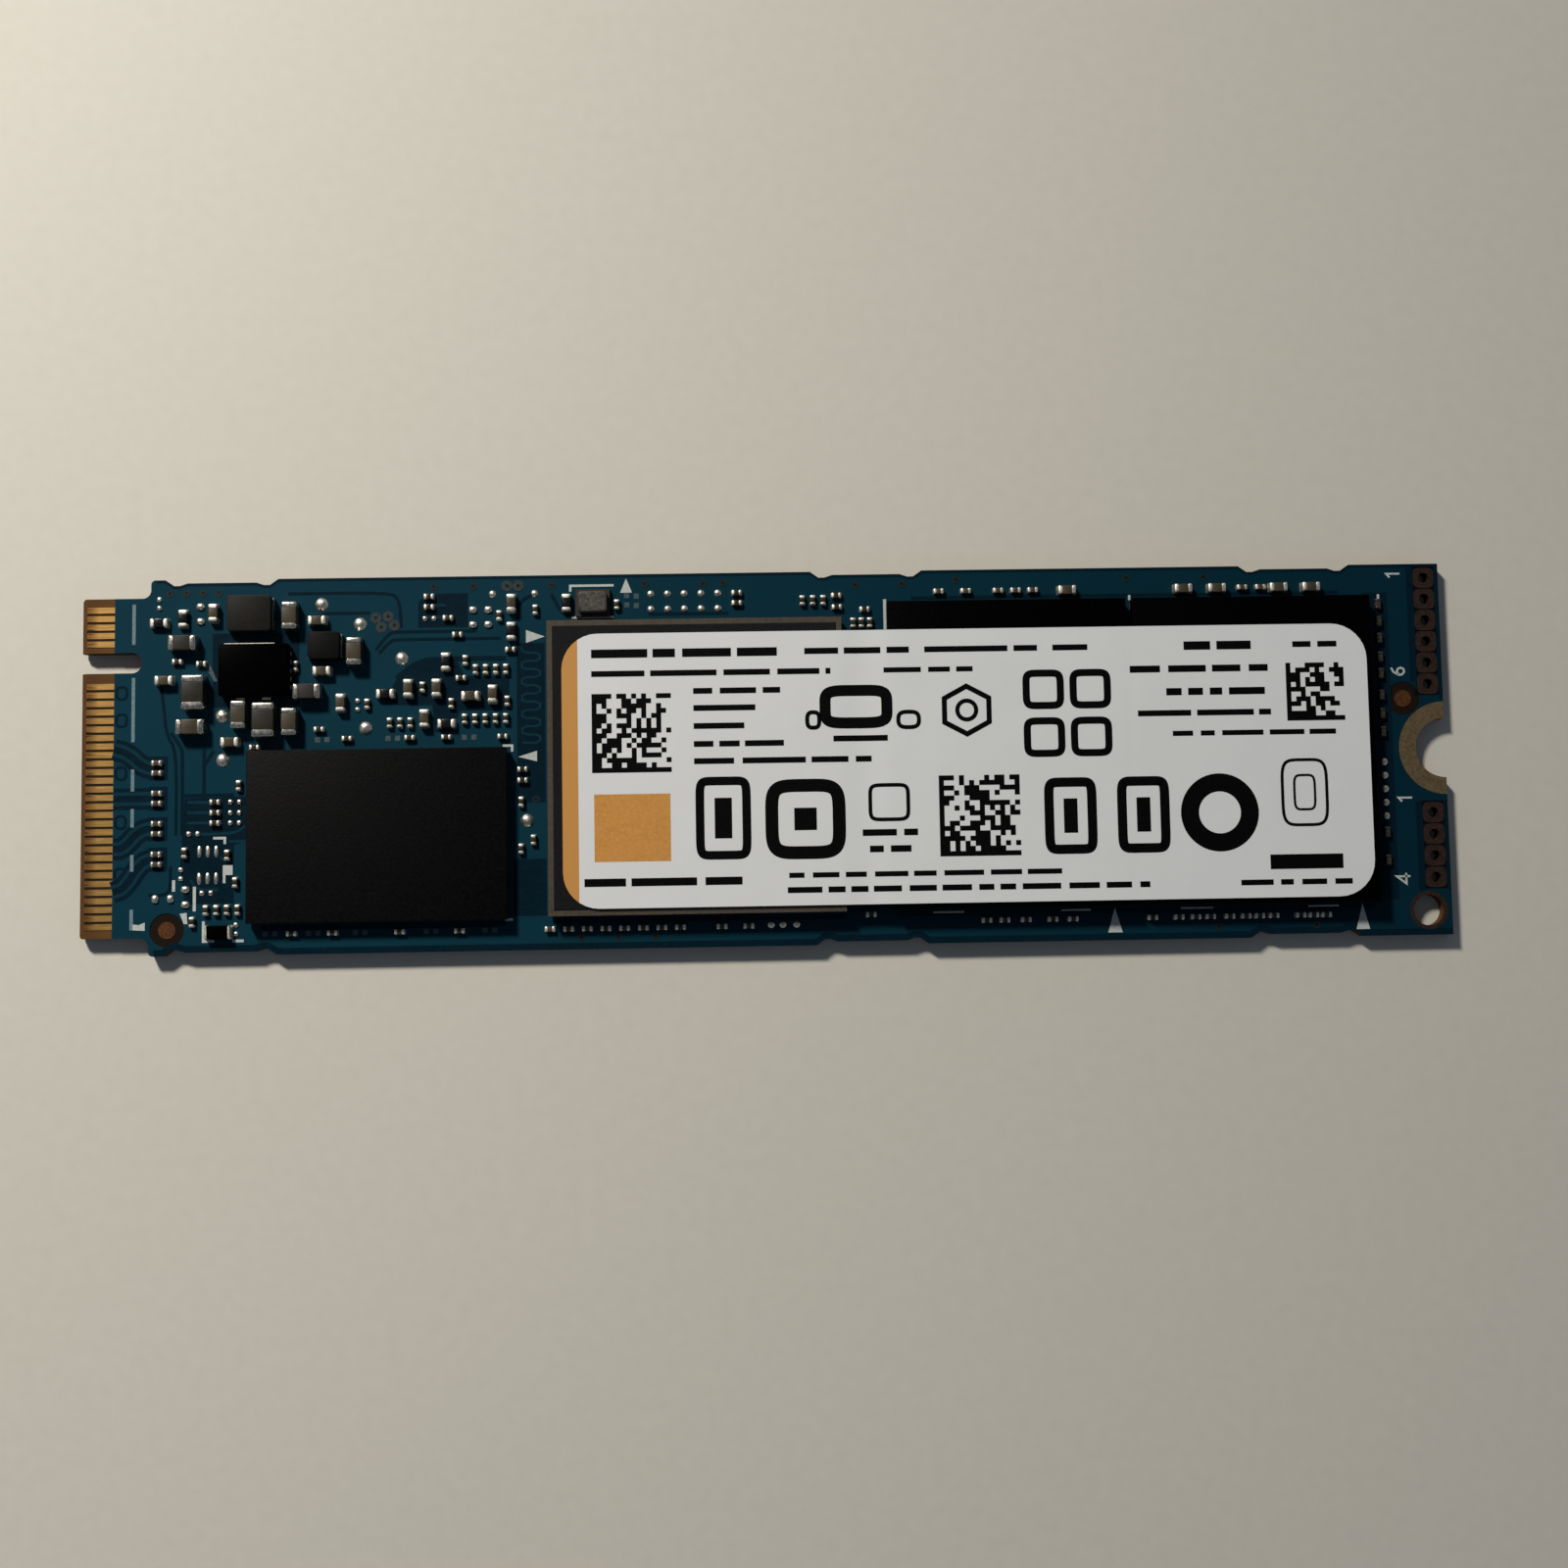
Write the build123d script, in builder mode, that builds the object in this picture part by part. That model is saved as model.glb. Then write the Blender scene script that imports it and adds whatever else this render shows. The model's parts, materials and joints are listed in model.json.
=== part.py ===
from build123d import *
import os

os.makedirs("parts", exist_ok=True)

# Plug-in solid-state drive card. X runs from the contact edge to the screw end, Z = 0 is the underside.
# All sizes are in millimetres.

# Circuit board
board_width = 22.0
board_thickness = 0.8
tongue_length = 4.0
shoulder_step = 1.075
tongue_corner_radius = 0.2
shoulder_fillet = 0.5
shoulder_corner_radius = 0.25
bevel_length = 0.28
bevel_drop = 0.17
key_width = 1.2
key_depth = 3.5
screw_hole_radius = 1.75
tooling_hole_radius = 0.9
tooling_hole_from_end = 1.37
tooling_hole_y = -9.55
recess_length = 6.6
recess_depth = 0.2
recess_run = 0.5
recess_dip = 0.15
recess_dip_length = 0.35
recess_dip_run = 0.45
recess_from_contacts = (8.12, 45.95, 71.38)

# Bare copper lies in shallow openings of the solder mask, level with the mask
copper_thickness = 0.035
mask_opening_margin = 0.1
contact_zone_length = 1.9
contact_pitch = 0.5
contact_width = 0.35
contact_length = 1.6
contact_from_edge = 0.3
middle_pin = 38
key_middle_pin = 62.5
ring_width = 1.0
header_pitch = 1.27
header_from_end = 0.87
header_pad_length = 1.25
header_pad_gap = 0.05
header_hole_radius = 0.3
header_hole_sides = 12
six_way_start = 3
six_way_count = 6
four_way_start = -6
four_way_count = 4
fiducial_radius = 0.5
fiducial_clearance = 1.0
fiducial_sides = 24
left_fiducial_from_contacts = 5.06
left_fiducial_y = -9.5
right_fiducial_from_end = 2.4
right_fiducial_y = 2.96

# Packages, chained along X from the contact edge to the screw end
memory_from_contacts = 9.8
memory_length = 15.0
memory_width = 10.0
memory_y = -4.2
memory_controller_gap = 2.4
controller_size = 17.2
controller_y = -0.47
controller_flash_gap = 2.7
flash_length = 14.0
flash_width = 18.0
flash_gap = 0.4
end_land = 4.5

# Heights above the board
ball_height = 0.22
substrate_thickness = 0.2
memory_mould_height = 0.48
flash_mould_height = 0.72
controller_substrate_thickness = 0.33
controller_rim = 0.32
controller_cap_edge = 0.06
ball_radius = 0.2
ball_sides = 4
ball_pitch = 1.0
ball_margin = 1.0

# Label across the controller and the two flash packages
label_thickness = 0.1
label_width = 15.98
label_y = -0.7
label_from_controller_left = 0.87
label_from_flash_right = 0.35
label_corner_radius = 2.1

# Power supply
power_chip_length = 4.0
power_chip_width = 3.0
power_chip_height = 0.75
power_pad_height = 0.1
power_pad_length = 0.45
power_pad_width = 0.25
power_pad_pitch = 0.5
power_pads_per_side = 5
power_pad_overhang = 0.05
inductor_terminal_thickness = 0.08
inductor_terminal_reach = 0.6
inductor_corner = 0.12
large_inductor_length = 2.7
large_inductor_width = 2.1
large_inductor_height = 1.0
small_inductor_length = 2.0
small_inductor_width = 1.6
small_inductor_height = 0.9

# Oscillator
oscillator_length = 2.0
oscillator_width = 1.6
oscillator_base_height = 0.3
oscillator_lid_height = 0.4
oscillator_lid_inset = 0.16
oscillator_lid_corner = 0.14
oscillator_lid_edge = 0.1

# Chip parts: a body between two plated ends, each end a little proud of the body
end_proud = 0.015
size_0805 = (2.0, 1.25, 0.9, 0.4)
size_0603 = (1.6, 0.85, 0.8, 0.32)
size_0402 = (1.05, 0.52, 0.5, 0.24)
size_0402_resistor = (1.05, 0.52, 0.38, 0.24)
size_0201 = (0.6, 0.3, 0.28, 0.17)
size_diode = (1.5, 0.78, 0.5, 0.14)
coupling_from_contacts = 4.45
coupling_y = -2.73
coupling_pair_pitch = 1.77
coupling_spacing = 0.59
coupling_pairs = 4

# Solder domes on test points
dome_sides = 8
dome_slope = 40.0
large_dome = (0.39, 0.2)
small_dome = (0.22, 0.12)

# Solder on lands without a part: length and width of a land, spacing of its pair, height of the solder
land_slope = 30.0
land_0402 = (0.42, 0.5, 0.88, 0.18)
land_0201 = (0.3, 0.32, 0.52, 0.12)
six_land = (0.7, 0.26, 1.56, 0.1)
six_land_pitch = 0.49
six_lands_per_row = 3

# Places that follow from the sizes above
board_length = (
    memory_from_contacts + memory_length + memory_controller_gap + controller_size
    + controller_flash_gap + flash_length + flash_gap + flash_length + end_land
)
contact_x = -board_length / 2
end_x = board_length / 2
shoulder_x = contact_x + tongue_length
board_top = board_thickness
copper_level = board_thickness - copper_thickness
key_y = (key_middle_pin - middle_pin) * contact_pitch / 2
memory_left = contact_x + memory_from_contacts
memory_right = memory_left + memory_length
memory_top = memory_y + memory_width / 2
memory_bottom = memory_y - memory_width / 2
controller_left = memory_right + memory_controller_gap
controller_right = controller_left + controller_size
controller_top = controller_y + controller_size / 2
controller_bottom = controller_y - controller_size / 2
flash_left = controller_right + controller_flash_gap
second_flash_left = flash_left + flash_length + flash_gap
flash_right = second_flash_left + flash_length
flash_top = flash_width / 2
package_seat = board_top + ball_height
package_top = package_seat + substrate_thickness + flash_mould_height
memory_x = memory_left + memory_length / 2
controller_x = controller_left + controller_size / 2
flash_x = flash_left + flash_length / 2
second_flash_x = second_flash_left + flash_length / 2
header_x = end_x - header_from_end
header_pad_width = header_pitch - header_pad_gap
ring_radius = screw_hole_radius + ring_width
seated = (Align.CENTER, Align.CENTER, Align.MIN)
across = 0
along = 90


def header_rows(start, count):
    """Centres of one header row, counted in pitches from the long centre line."""
    return [(header_x, header_pitch * (start + step)) for step in range(count)]


def spread(start, pitch, count, level, turn):
    """Places of a regular row of chip parts along X."""
    return [(start + pitch * step, level, turn) for step in range(count)]


def on_board(datum_x, datum_y, spots, level=board_top):
    """Locations measured from a datum point, on the board top or on a sketch's own plane."""
    return [Location((datum_x + x, datum_y + y, level), (0, 0, turn)) for x, y, turn in spots]


def save(builder, name):
    """Label a finished piece and write it as a node."""
    builder.part.label = name
    export_step(builder.part, f"parts/{name}.step")


# Circuit board: keyed tongue, shoulders, break-off recesses, holes, mask openings and bevelled contact edge
six_way = header_rows(six_way_start, six_way_count)
four_way = header_rows(four_way_start, four_way_count)
fiducials = [
    (contact_x + left_fiducial_from_contacts, left_fiducial_y),
    (end_x - right_fiducial_from_end, right_fiducial_y),
]
recess_places = [contact_x + place for place in recess_from_contacts]

# Half a recess from its mouth inwards: a sloped end, a deeper dip where the cutter turned, then the floor
recess_wall = recess_length / 2 - recess_run
half_recess = [
    (recess_length / 2, 0),
    (recess_wall, recess_depth + recess_dip),
    (recess_wall - recess_dip_length, recess_depth + recess_dip),
    (recess_wall - recess_dip_length - recess_dip_run, recess_depth),
]
recess_outline = half_recess + [(-x, y) for x, y in reversed(half_recess)]

with BuildPart() as circuit_board:
    with BuildSketch() as outline:
        Rectangle(board_length, board_width)
        with Locations((contact_x, board_width / 2), (contact_x, -board_width / 2)):
            Rectangle(2 * tongue_length, 2 * shoulder_step, mode=Mode.SUBTRACT)
        shoulder = outline.vertices().group_by(Axis.X)[1].sort_by(lambda corner: abs(corner.Y))
        fillet(shoulder[:2], shoulder_fillet)
        fillet(outline.vertices().group_by(Axis.X)[0], tongue_corner_radius)
        outer_corners = outline.vertices().filter_by_position(Axis.X, shoulder_x, shoulder_x)
        fillet(outer_corners.sort_by(lambda corner: abs(corner.Y))[-2:], shoulder_corner_radius)
        with Locations((contact_x, key_y)):
            SlotOverall(2 * key_depth, key_width, mode=Mode.SUBTRACT)
        with Locations((end_x, 0)):
            Circle(screw_hole_radius, mode=Mode.SUBTRACT)
        with Locations((end_x - tooling_hole_from_end, tooling_hole_y)):
            Circle(tooling_hole_radius, mode=Mode.SUBTRACT)
        with Locations(six_way + four_way):
            RegularPolygon(header_hole_radius, header_hole_sides, mode=Mode.SUBTRACT)
        with Locations([Location((x, -board_width / 2)) for x in recess_places]):
            Polygon(*recess_outline, align=None, mode=Mode.SUBTRACT)
        with Locations([Location((x, board_width / 2), 180) for x in recess_places]):
            Polygon(*recess_outline, align=None, mode=Mode.SUBTRACT)
    extrude(amount=board_thickness)
    with BuildSketch(Plane.XY.offset(copper_level)):
        with Locations((contact_x, 0)):
            Rectangle(2 * contact_zone_length, board_width)
        with Locations((end_x, 0)):
            Circle(ring_radius)
        for row in (six_way, four_way):
            with Locations((header_x, (row[0][1] + row[-1][1]) / 2)):
                Rectangle(header_pad_length + mask_opening_margin,
                          header_pitch * len(row) + mask_opening_margin)
        with Locations(fiducials):
            RegularPolygon(fiducial_clearance, fiducial_sides)
    extrude(amount=copper_thickness, mode=Mode.SUBTRACT)
    with BuildSketch():
        with Locations((contact_x, 0)):
            Rectangle(2 * contact_zone_length, board_width)
        with Locations((end_x, 0)):
            Circle(ring_radius)
    extrude(amount=copper_thickness, mode=Mode.SUBTRACT)
    with BuildSketch(Plane.XZ):
        with BuildLine():
            Polyline((contact_x, copper_level), (contact_x + bevel_length, copper_level),
                     (contact_x, copper_level - bevel_drop), close=True)
        make_face()
        with BuildLine():
            Polyline((contact_x, copper_thickness), (contact_x + bevel_length, copper_thickness),
                     (contact_x, copper_thickness + bevel_drop), close=True)
        make_face()
    extrude(amount=board_width, both=True, mode=Mode.SUBTRACT)
save(circuit_board, "circuit_board")

# Edge contacts: odd pins on top, even pins underneath, none at the key
top_pins = [*range(1, 58, 2), *range(67, 76, 2)]
bottom_pins = [*range(2, 59, 2), *range(68, 75, 2)]
contact_rows = (
    ("edge_contacts_top", top_pins, copper_level),
    ("edge_contacts_bottom", bottom_pins, 0),
)
for name, pins, level in contact_rows:
    with BuildPart() as contacts:
        with BuildSketch(Plane.XY.offset(level)):
            centre = contact_x + contact_from_edge + contact_length / 2
            with Locations([(centre, (pin - middle_pin) * contact_pitch / 2) for pin in pins]):
                Rectangle(contact_length, contact_width)
        extrude(amount=copper_thickness)
    save(contacts, name)

# Ground ring round the screw half-hole, one on each face
with BuildPart() as ground_ring:
    for level in (copper_level, 0):
        with BuildSketch(Plane.XY.offset(level)):
            with Locations((end_x, 0)):
                Circle(ring_radius)
                Circle(screw_hole_radius, mode=Mode.SUBTRACT)
                Rectangle(2 * ring_radius, 2 * ring_radius, align=(Align.MIN, Align.CENTER),
                          mode=Mode.SUBTRACT)
        extrude(amount=copper_thickness)
save(ground_ring, "ground_ring")

# Header pads and fiducial discs
for name, row in (("header_pads_six", six_way), ("header_pads_four", four_way)):
    with BuildPart() as header_pads:
        with BuildSketch(Plane.XY.offset(copper_level)):
            with Locations(row):
                Rectangle(header_pad_length, header_pad_width)
                RegularPolygon(header_hole_radius, header_hole_sides, mode=Mode.SUBTRACT)
        extrude(amount=copper_thickness)
    save(header_pads, name)

with BuildPart() as fiducial_discs:
    with BuildSketch(Plane.XY.offset(copper_level)):
        with Locations(fiducials):
            RegularPolygon(fiducial_radius, fiducial_sides)
    extrude(amount=copper_thickness)
save(fiducial_discs, "fiducial_discs")

# Ball-grid packages: the three balls at each corner, a laminate substrate and a mould on it.
# The controller's substrate has a raised border, up to the bevelled edge of the cap inside it.
packages = (
    ("memory", memory_x, memory_y, memory_length, memory_width, substrate_thickness, 0,
     memory_mould_height, 0),
    ("controller", controller_x, controller_y, controller_size, controller_size,
     controller_substrate_thickness, controller_rim,
     package_top - package_seat - controller_substrate_thickness, controller_cap_edge),
    ("flash_left", flash_x, 0, flash_length, flash_width, substrate_thickness, 0, flash_mould_height, 0),
    ("flash_right", second_flash_x, 0, flash_length, flash_width, substrate_thickness, 0,
     flash_mould_height, 0),
)
for name, x, y, length, width, laminate, rim, mould_height, mould_edge in packages:
    with BuildPart() as solder_balls:
        with BuildSketch(Plane((x, y, board_top))):
            with GridLocations(length - 2 * ball_margin, width - 2 * ball_margin, 2, 2):
                RegularPolygon(ball_radius, ball_sides)
            with GridLocations(length - 2 * (ball_margin + ball_pitch), width - 2 * ball_margin, 2, 2):
                RegularPolygon(ball_radius, ball_sides)
            with GridLocations(length - 2 * ball_margin, width - 2 * (ball_margin + ball_pitch), 2, 2):
                RegularPolygon(ball_radius, ball_sides)
        extrude(amount=ball_height)
    save(solder_balls, f"{name}_solder_balls")

    with BuildPart() as substrate:
        with BuildSketch(Plane((x, y, package_seat))):
            Rectangle(length, width)
        extrude(amount=laminate)
        if rim:
            with BuildSketch(Plane((x, y, package_seat + laminate))):
                Rectangle(length, width)
                Rectangle(length - 2 * rim, width - 2 * rim, mode=Mode.SUBTRACT)
            extrude(amount=mould_height - mould_edge)
    save(substrate, f"{name}_substrate")

    with BuildPart() as mould:
        with BuildSketch(Plane((x, y, package_seat + laminate))):
            Rectangle(length - 2 * rim, width - 2 * rim)
        extrude(amount=mould_height)
        if mould_edge:
            chamfer(mould.faces().sort_by(Axis.Z)[-1].edges(), mould_edge)
    save(mould, f"{name}_mould")

# Label: one thin film from the controller to the far flash package
label_left = controller_left + label_from_controller_left
label_right = flash_right - label_from_flash_right
with BuildPart() as drive_label:
    with BuildSketch(Plane(((label_left + label_right) / 2, label_y, package_top))):
        RectangleRounded(label_right - label_left, label_width, label_corner_radius)
    extrude(amount=label_thickness)
save(drive_label, "drive_label")

# Power chip on its pads
power_chip_x = contact_x + 10.15
power_chip_y = 5.55
with BuildPart() as power_chip_pads:
    with BuildSketch(Plane((power_chip_x, power_chip_y, board_top))):
        pad_rows = power_chip_length - power_pad_length + 2 * power_pad_overhang
        with GridLocations(pad_rows, power_pad_pitch, 2, power_pads_per_side):
            Rectangle(power_pad_length, power_pad_width)
    extrude(amount=power_pad_height)
save(power_chip_pads, "power_chip_pads")

with BuildPart() as power_chip_mould:
    with BuildSketch(Plane((power_chip_x, power_chip_y, board_top + power_pad_height))):
        Rectangle(power_chip_length, power_chip_width)
    extrude(amount=power_chip_height)
save(power_chip_mould, "power_chip_mould")

# Moulded inductors: a core on two bent end terminals
inductors = (
    ("large_inductor", contact_x + 9.91, 8.85, large_inductor_length, large_inductor_width,
     large_inductor_height),
    ("small_inductor", contact_x + 14.22, 6.91, small_inductor_length, small_inductor_width,
     small_inductor_height),
)
for name, x, y, length, width, height in inductors:
    core_length = length - 2 * inductor_terminal_thickness
    with BuildPart() as core:
        with BuildSketch(Plane((x, y, board_top + inductor_terminal_thickness))) as core_outline:
            Rectangle(core_length, width)
            chamfer(core_outline.vertices(), inductor_corner)
        extrude(amount=height - inductor_terminal_thickness)
    save(core, f"{name}_core")

    with BuildPart() as terminals:
        with BuildSketch(Plane((x, y, board_top), x_dir=(1, 0, 0), z_dir=(0, -1, 0))) as bent:
            with BuildLine():
                Polyline(
                    (length / 2, 0),
                    (length / 2, height / 2),
                    (core_length / 2, height / 2),
                    (core_length / 2, inductor_terminal_thickness),
                    (core_length / 2 - inductor_terminal_reach, inductor_terminal_thickness),
                    (core_length / 2 - inductor_terminal_reach, 0),
                    close=True,
                )
            make_face()
            mirror(about=Plane.YZ)
        extrude(amount=width / 2 - inductor_corner, both=True)
    save(terminals, f"{name}_terminals")

# Clock oscillator: ceramic base and drawn metal lid
oscillator_x = controller_left + 2.65
oscillator_y = controller_top + 1.15
with BuildPart() as oscillator_base:
    with BuildSketch(Plane((oscillator_x, oscillator_y, board_top))):
        Rectangle(oscillator_length, oscillator_width)
    extrude(amount=oscillator_base_height)
save(oscillator_base, "oscillator_base")

with BuildPart() as oscillator_lid:
    with BuildSketch(Plane((oscillator_x, oscillator_y, board_top + oscillator_base_height))) as lid_outline:
        Rectangle(oscillator_length - 2 * oscillator_lid_inset, oscillator_width - 2 * oscillator_lid_inset)
        chamfer(lid_outline.vertices(), oscillator_lid_corner)
    extrude(amount=oscillator_lid_height)
    chamfer(oscillator_lid.faces().sort_by(Axis.Z)[-1].edges(), oscillator_lid_edge)
save(oscillator_lid, "oscillator_lid")


def chip_parts(name, size, places):
    """One node of bodies and one of plated ends for every chip part in the places."""
    length, width, height, band = size
    with BuildPart() as bodies:
        with Locations(places):
            Box(length - 2 * band, width, height, align=seated)
    save(bodies, f"{name}_bodies")

    with BuildPart() as ends:
        with Locations(places):
            with GridLocations(length - band, 0, 2, 1):
                Box(band, width + 2 * end_proud, height + end_proud, align=seated)
    save(ends, f"{name}_ends")


# Chip parts of the power supply and behind the contacts, measured from the contact edge
chip_parts("capacitors_0805", size_0805, on_board(contact_x, 0, [
    (6.65, 4.28, along), (10.72, 2.61, along),
]))
chip_parts("capacitors_0603", size_0603, on_board(contact_x, 0, [
    (12.19, 8.72, along), (6.47, 2.27, across), (9.26, 2.95, along), (12.19, 2.48, along),
    (15.94, 6.57, along),
]))
chip_parts("beads_0603", size_0603, on_board(contact_x, 0, [
    (6.0, 7.2, across), (13.2, 4.25, across),
]))
chip_parts("diode", size_diode, on_board(contact_x, 0, [(8.08, -9.66, across)]))
chip_parts("coupling_capacitors", size_0201, on_board(contact_x, coupling_y, [
    (coupling_from_contacts,
     coupling_pair_pitch * (pair - (coupling_pairs - 1) / 2) + side * coupling_spacing / 2, across)
    for pair in range(coupling_pairs) for side in (-1, 1)
]))

# 0402 capacitors
chip_parts("capacitors_0402", size_0402, [
    *on_board(contact_x, 0, [
        (7.72, 8.97, along), (13.75, 8.44, across), (14.03, 5.47, across), (4.88, 5.03, across),
        (8.71, 1.37, across), (15.11, 3.58, along),
    ]),
    *on_board(memory_right, memory_top, [
        (-5.76, 3.58, along), (-4.11, 3.58, along), (-0.84, 3.18, along), (-4.82, 1.79, along),
        (0.28, 8.53, along), (-2.13, 3.08, across),
    ]),
    *on_board(flash_left, flash_top, [
        (10.71, 0.65, across), (17.6, 0.65, across), (19.6, 0.65, across), (23.26, 0.65, across),
        (25.2, 0.65, across),
    ]),
])

# 0402 resistors
chip_parts("resistors_0402", size_0402_resistor, [
    *on_board(contact_x, 0, [
        (5.94, 8.67, along), (4.55, 8.42, across),
    ]),
    *on_board(memory_right, memory_top, [
        (-3.58, 5.13, along), (-3.54, 1.47, across), (-7.1, 3.28, across), (0.26, 6.89, along),
    ]),
    *on_board(controller_left, controller_top, [(1.1, 1.18, along)]),
])

# 0201 resistors round the power supply, the memory and the controller
chip_parts("resistors_0201", size_0201, [
    *on_board(contact_x, 0, [
        (5.6, 6.14, across), (7.0, 6.0, across), (12.45, 5.8, along), (13.84, 2.05, across),
        (9.2, -1.16, along), (6.08, -5.04, along), (8.55, -5.2, along), (9.02, -6.8, along),
        (6.54, -9.05, along), (7.83, -2.11, across), (7.83, -2.73, across), (7.83, -3.33, across),
        *spread(7.33, 0.61, 4, -8.38, along),
    ]),
    *on_board(memory_left, memory_top, [(0.3, 0.25, across)]),
    *on_board(memory_right, memory_top, [
        (-8.17, 2.7, along), (-4.95, 3.66, along), (-2.44, 5.2, along), (-2.7, 4.16, across),
        (-3.27, 2.67, along), (0, 2.77, along), (-9.34, 0.68, across), (-5.7, 0.68, across),
        (-3.56, 0.68, across), (-0.28, 0.68, across), (-4.55, 9.0, across), (-4.55, 8.38, across),
        (-3.45, 7.72, across), (-0.45, 7.82, along), (1.67, 8.13, along), (-2.9, 6.73, across),
        (0.2, 5.8, across),
        *spread(-1.84, 0.59, 4, 4.65, along),
        *spread(-6.86, 0.6, 3, 1.57, along),
        *spread(-2.49, 0.6, 5, 1.74, along),
    ]),
    *on_board(memory_right, memory_y, [
        (0.87, 3.73, across), (0.87, 3.09, across), (0.78, 1.83, along), (1.48, -0.4, along),
        (0.76, -0.91, along),
    ]),
    *on_board(controller_left, controller_top, [
        (4.05, 1.04, along), (11.11, 1.65, across), (11.11, 1.04, across),
    ]),
    *on_board(controller_right, controller_top, [
        (-0.22, 1.41, across), (-0.2, 0.72, across), (1.44, 0.57, across),
        *spread(-2.23, 0.615, 3, 1.14, along),
        *spread(0.74, 0.495, 3, -0.23, along),
    ]),
])

# 0201 capacitors along the edges of the packages
flash_top_row = (3.13, 4.74, 6.65, 7.69, 8.7, 21.14, 22.23)
flash_bottom_row = (5.5, 6.55, 7.8, 9.36, 10.55, 15.2, 16.75, 17.74, 18.6, 19.73, 20.68, 21.48, 22.32,
                    23.9, 24.65, 25.4)
flash_side_column = (8.6, 7.57, 6.56, 5.45, 4.46, 3.17, 2.08, 1.0, -4.93, -6.57)
chip_parts("capacitors_0201", size_0201, [
    *on_board(memory_left, memory_bottom, [(x, -0.6, across) for x in (2.48, 4.84, 8.71, 12.17)]),
    *on_board(controller_left, controller_bottom, [
        *spread(0, 1.08, 8, -0.73, across),
        (9.97, -0.73, across), (11.53, -0.73, across),
    ]),
    *on_board(controller_right, controller_bottom, [(1.46, -0.18, across)]),
    *on_board(flash_left, flash_top, [(x, 0.7, across) for x in flash_top_row]),
    *on_board(flash_left, -flash_top, [(x, -0.7, across) for x in flash_bottom_row]),
    *on_board(flash_right, 0, [(0.8, y, along) for y in flash_side_column]),
])

# Solder domes, large and small
large_dome_places = [
    (contact_x + 13.95, 9.45), (contact_x + 16.2, 8.25), (contact_x + 8.17, 2.93), (contact_x + 8.22, 0.35),
    (memory_right - 6.17, memory_top + 5.38), (memory_right - 8.28, memory_top + 1.3),
    (memory_right + 1.1, memory_y + 0.75),
]
small_dome_places = [
    (memory_right - 0.85, memory_top + 9.13), (memory_right + 1.62, memory_top + 9.13),
    *[(controller_left + x, controller_bottom - 0.67) for x in (12.83, 13.51, 14.31)],
    *[(flash_right + 0.85, y) for y in (-0.78, -1.58, -2.38, -3.18, -3.98)],
    *[(controller_left + 6.05 + 0.985 * column, controller_top + 1.22 + 0.455 * side)
      for column in range(5) for side in (-1, 1)],
]
with BuildPart() as solder_domes:
    for (radius, height), places in ((large_dome, large_dome_places), (small_dome, small_dome_places)):
        with BuildSketch(Plane.XY.offset(board_top)):
            with Locations(places):
                RegularPolygon(radius, dome_sides)
        extrude(amount=height, taper=dome_slope)
save(solder_domes, "solder_domes")

# Solder on lands without a part: pairs of chip lands, and the two rows of a six-lead place
empty_0402 = [
    *on_board(contact_x, 0, [(6.9, 8.96, along), (6.12, -7.59, along), (4.82, -7.68, across)], 0),
    *on_board(memory_right, memory_top, [(-2.0, 7.76, along), (-1.1, 7.76, along)], 0),
]
empty_0201 = [
    *on_board(contact_x, 0, [
        (4.5, 9.6, along), (6.55, -3.93, across), (5.85, -6.27, along), (7.33, -7.38, across),
        (9.05, -9.5, along), (8.95, -2.11, across), (8.95, -2.73, across), (8.95, -3.33, across),
    ], 0),
    *on_board(memory_right, memory_top, [(-8.75, 2.66, along), (-4.55, 7.72, across)], 0),
]
empty_six = on_board(contact_x + 7.4, -5.75, [
    (six_land_pitch * (column - (six_lands_per_row - 1) / 2), 0, along) for column in range(six_lands_per_row)
], 0)
with BuildPart() as bare_land_solder:
    for (length, width, spacing, height), places in (
        (land_0402, empty_0402), (land_0201, empty_0201), (six_land, empty_six),
    ):
        with BuildSketch(Plane.XY.offset(board_top)):
            with Locations(places):
                with GridLocations(spacing, 0, 2, 1):
                    Rectangle(length, width)
        extrude(amount=height, taper=land_slope)
save(bare_land_solder, "bare_land_solder")
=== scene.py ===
import json
import math
import bpy
import numpy as np
from mathutils import Matrix, Vector

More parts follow.
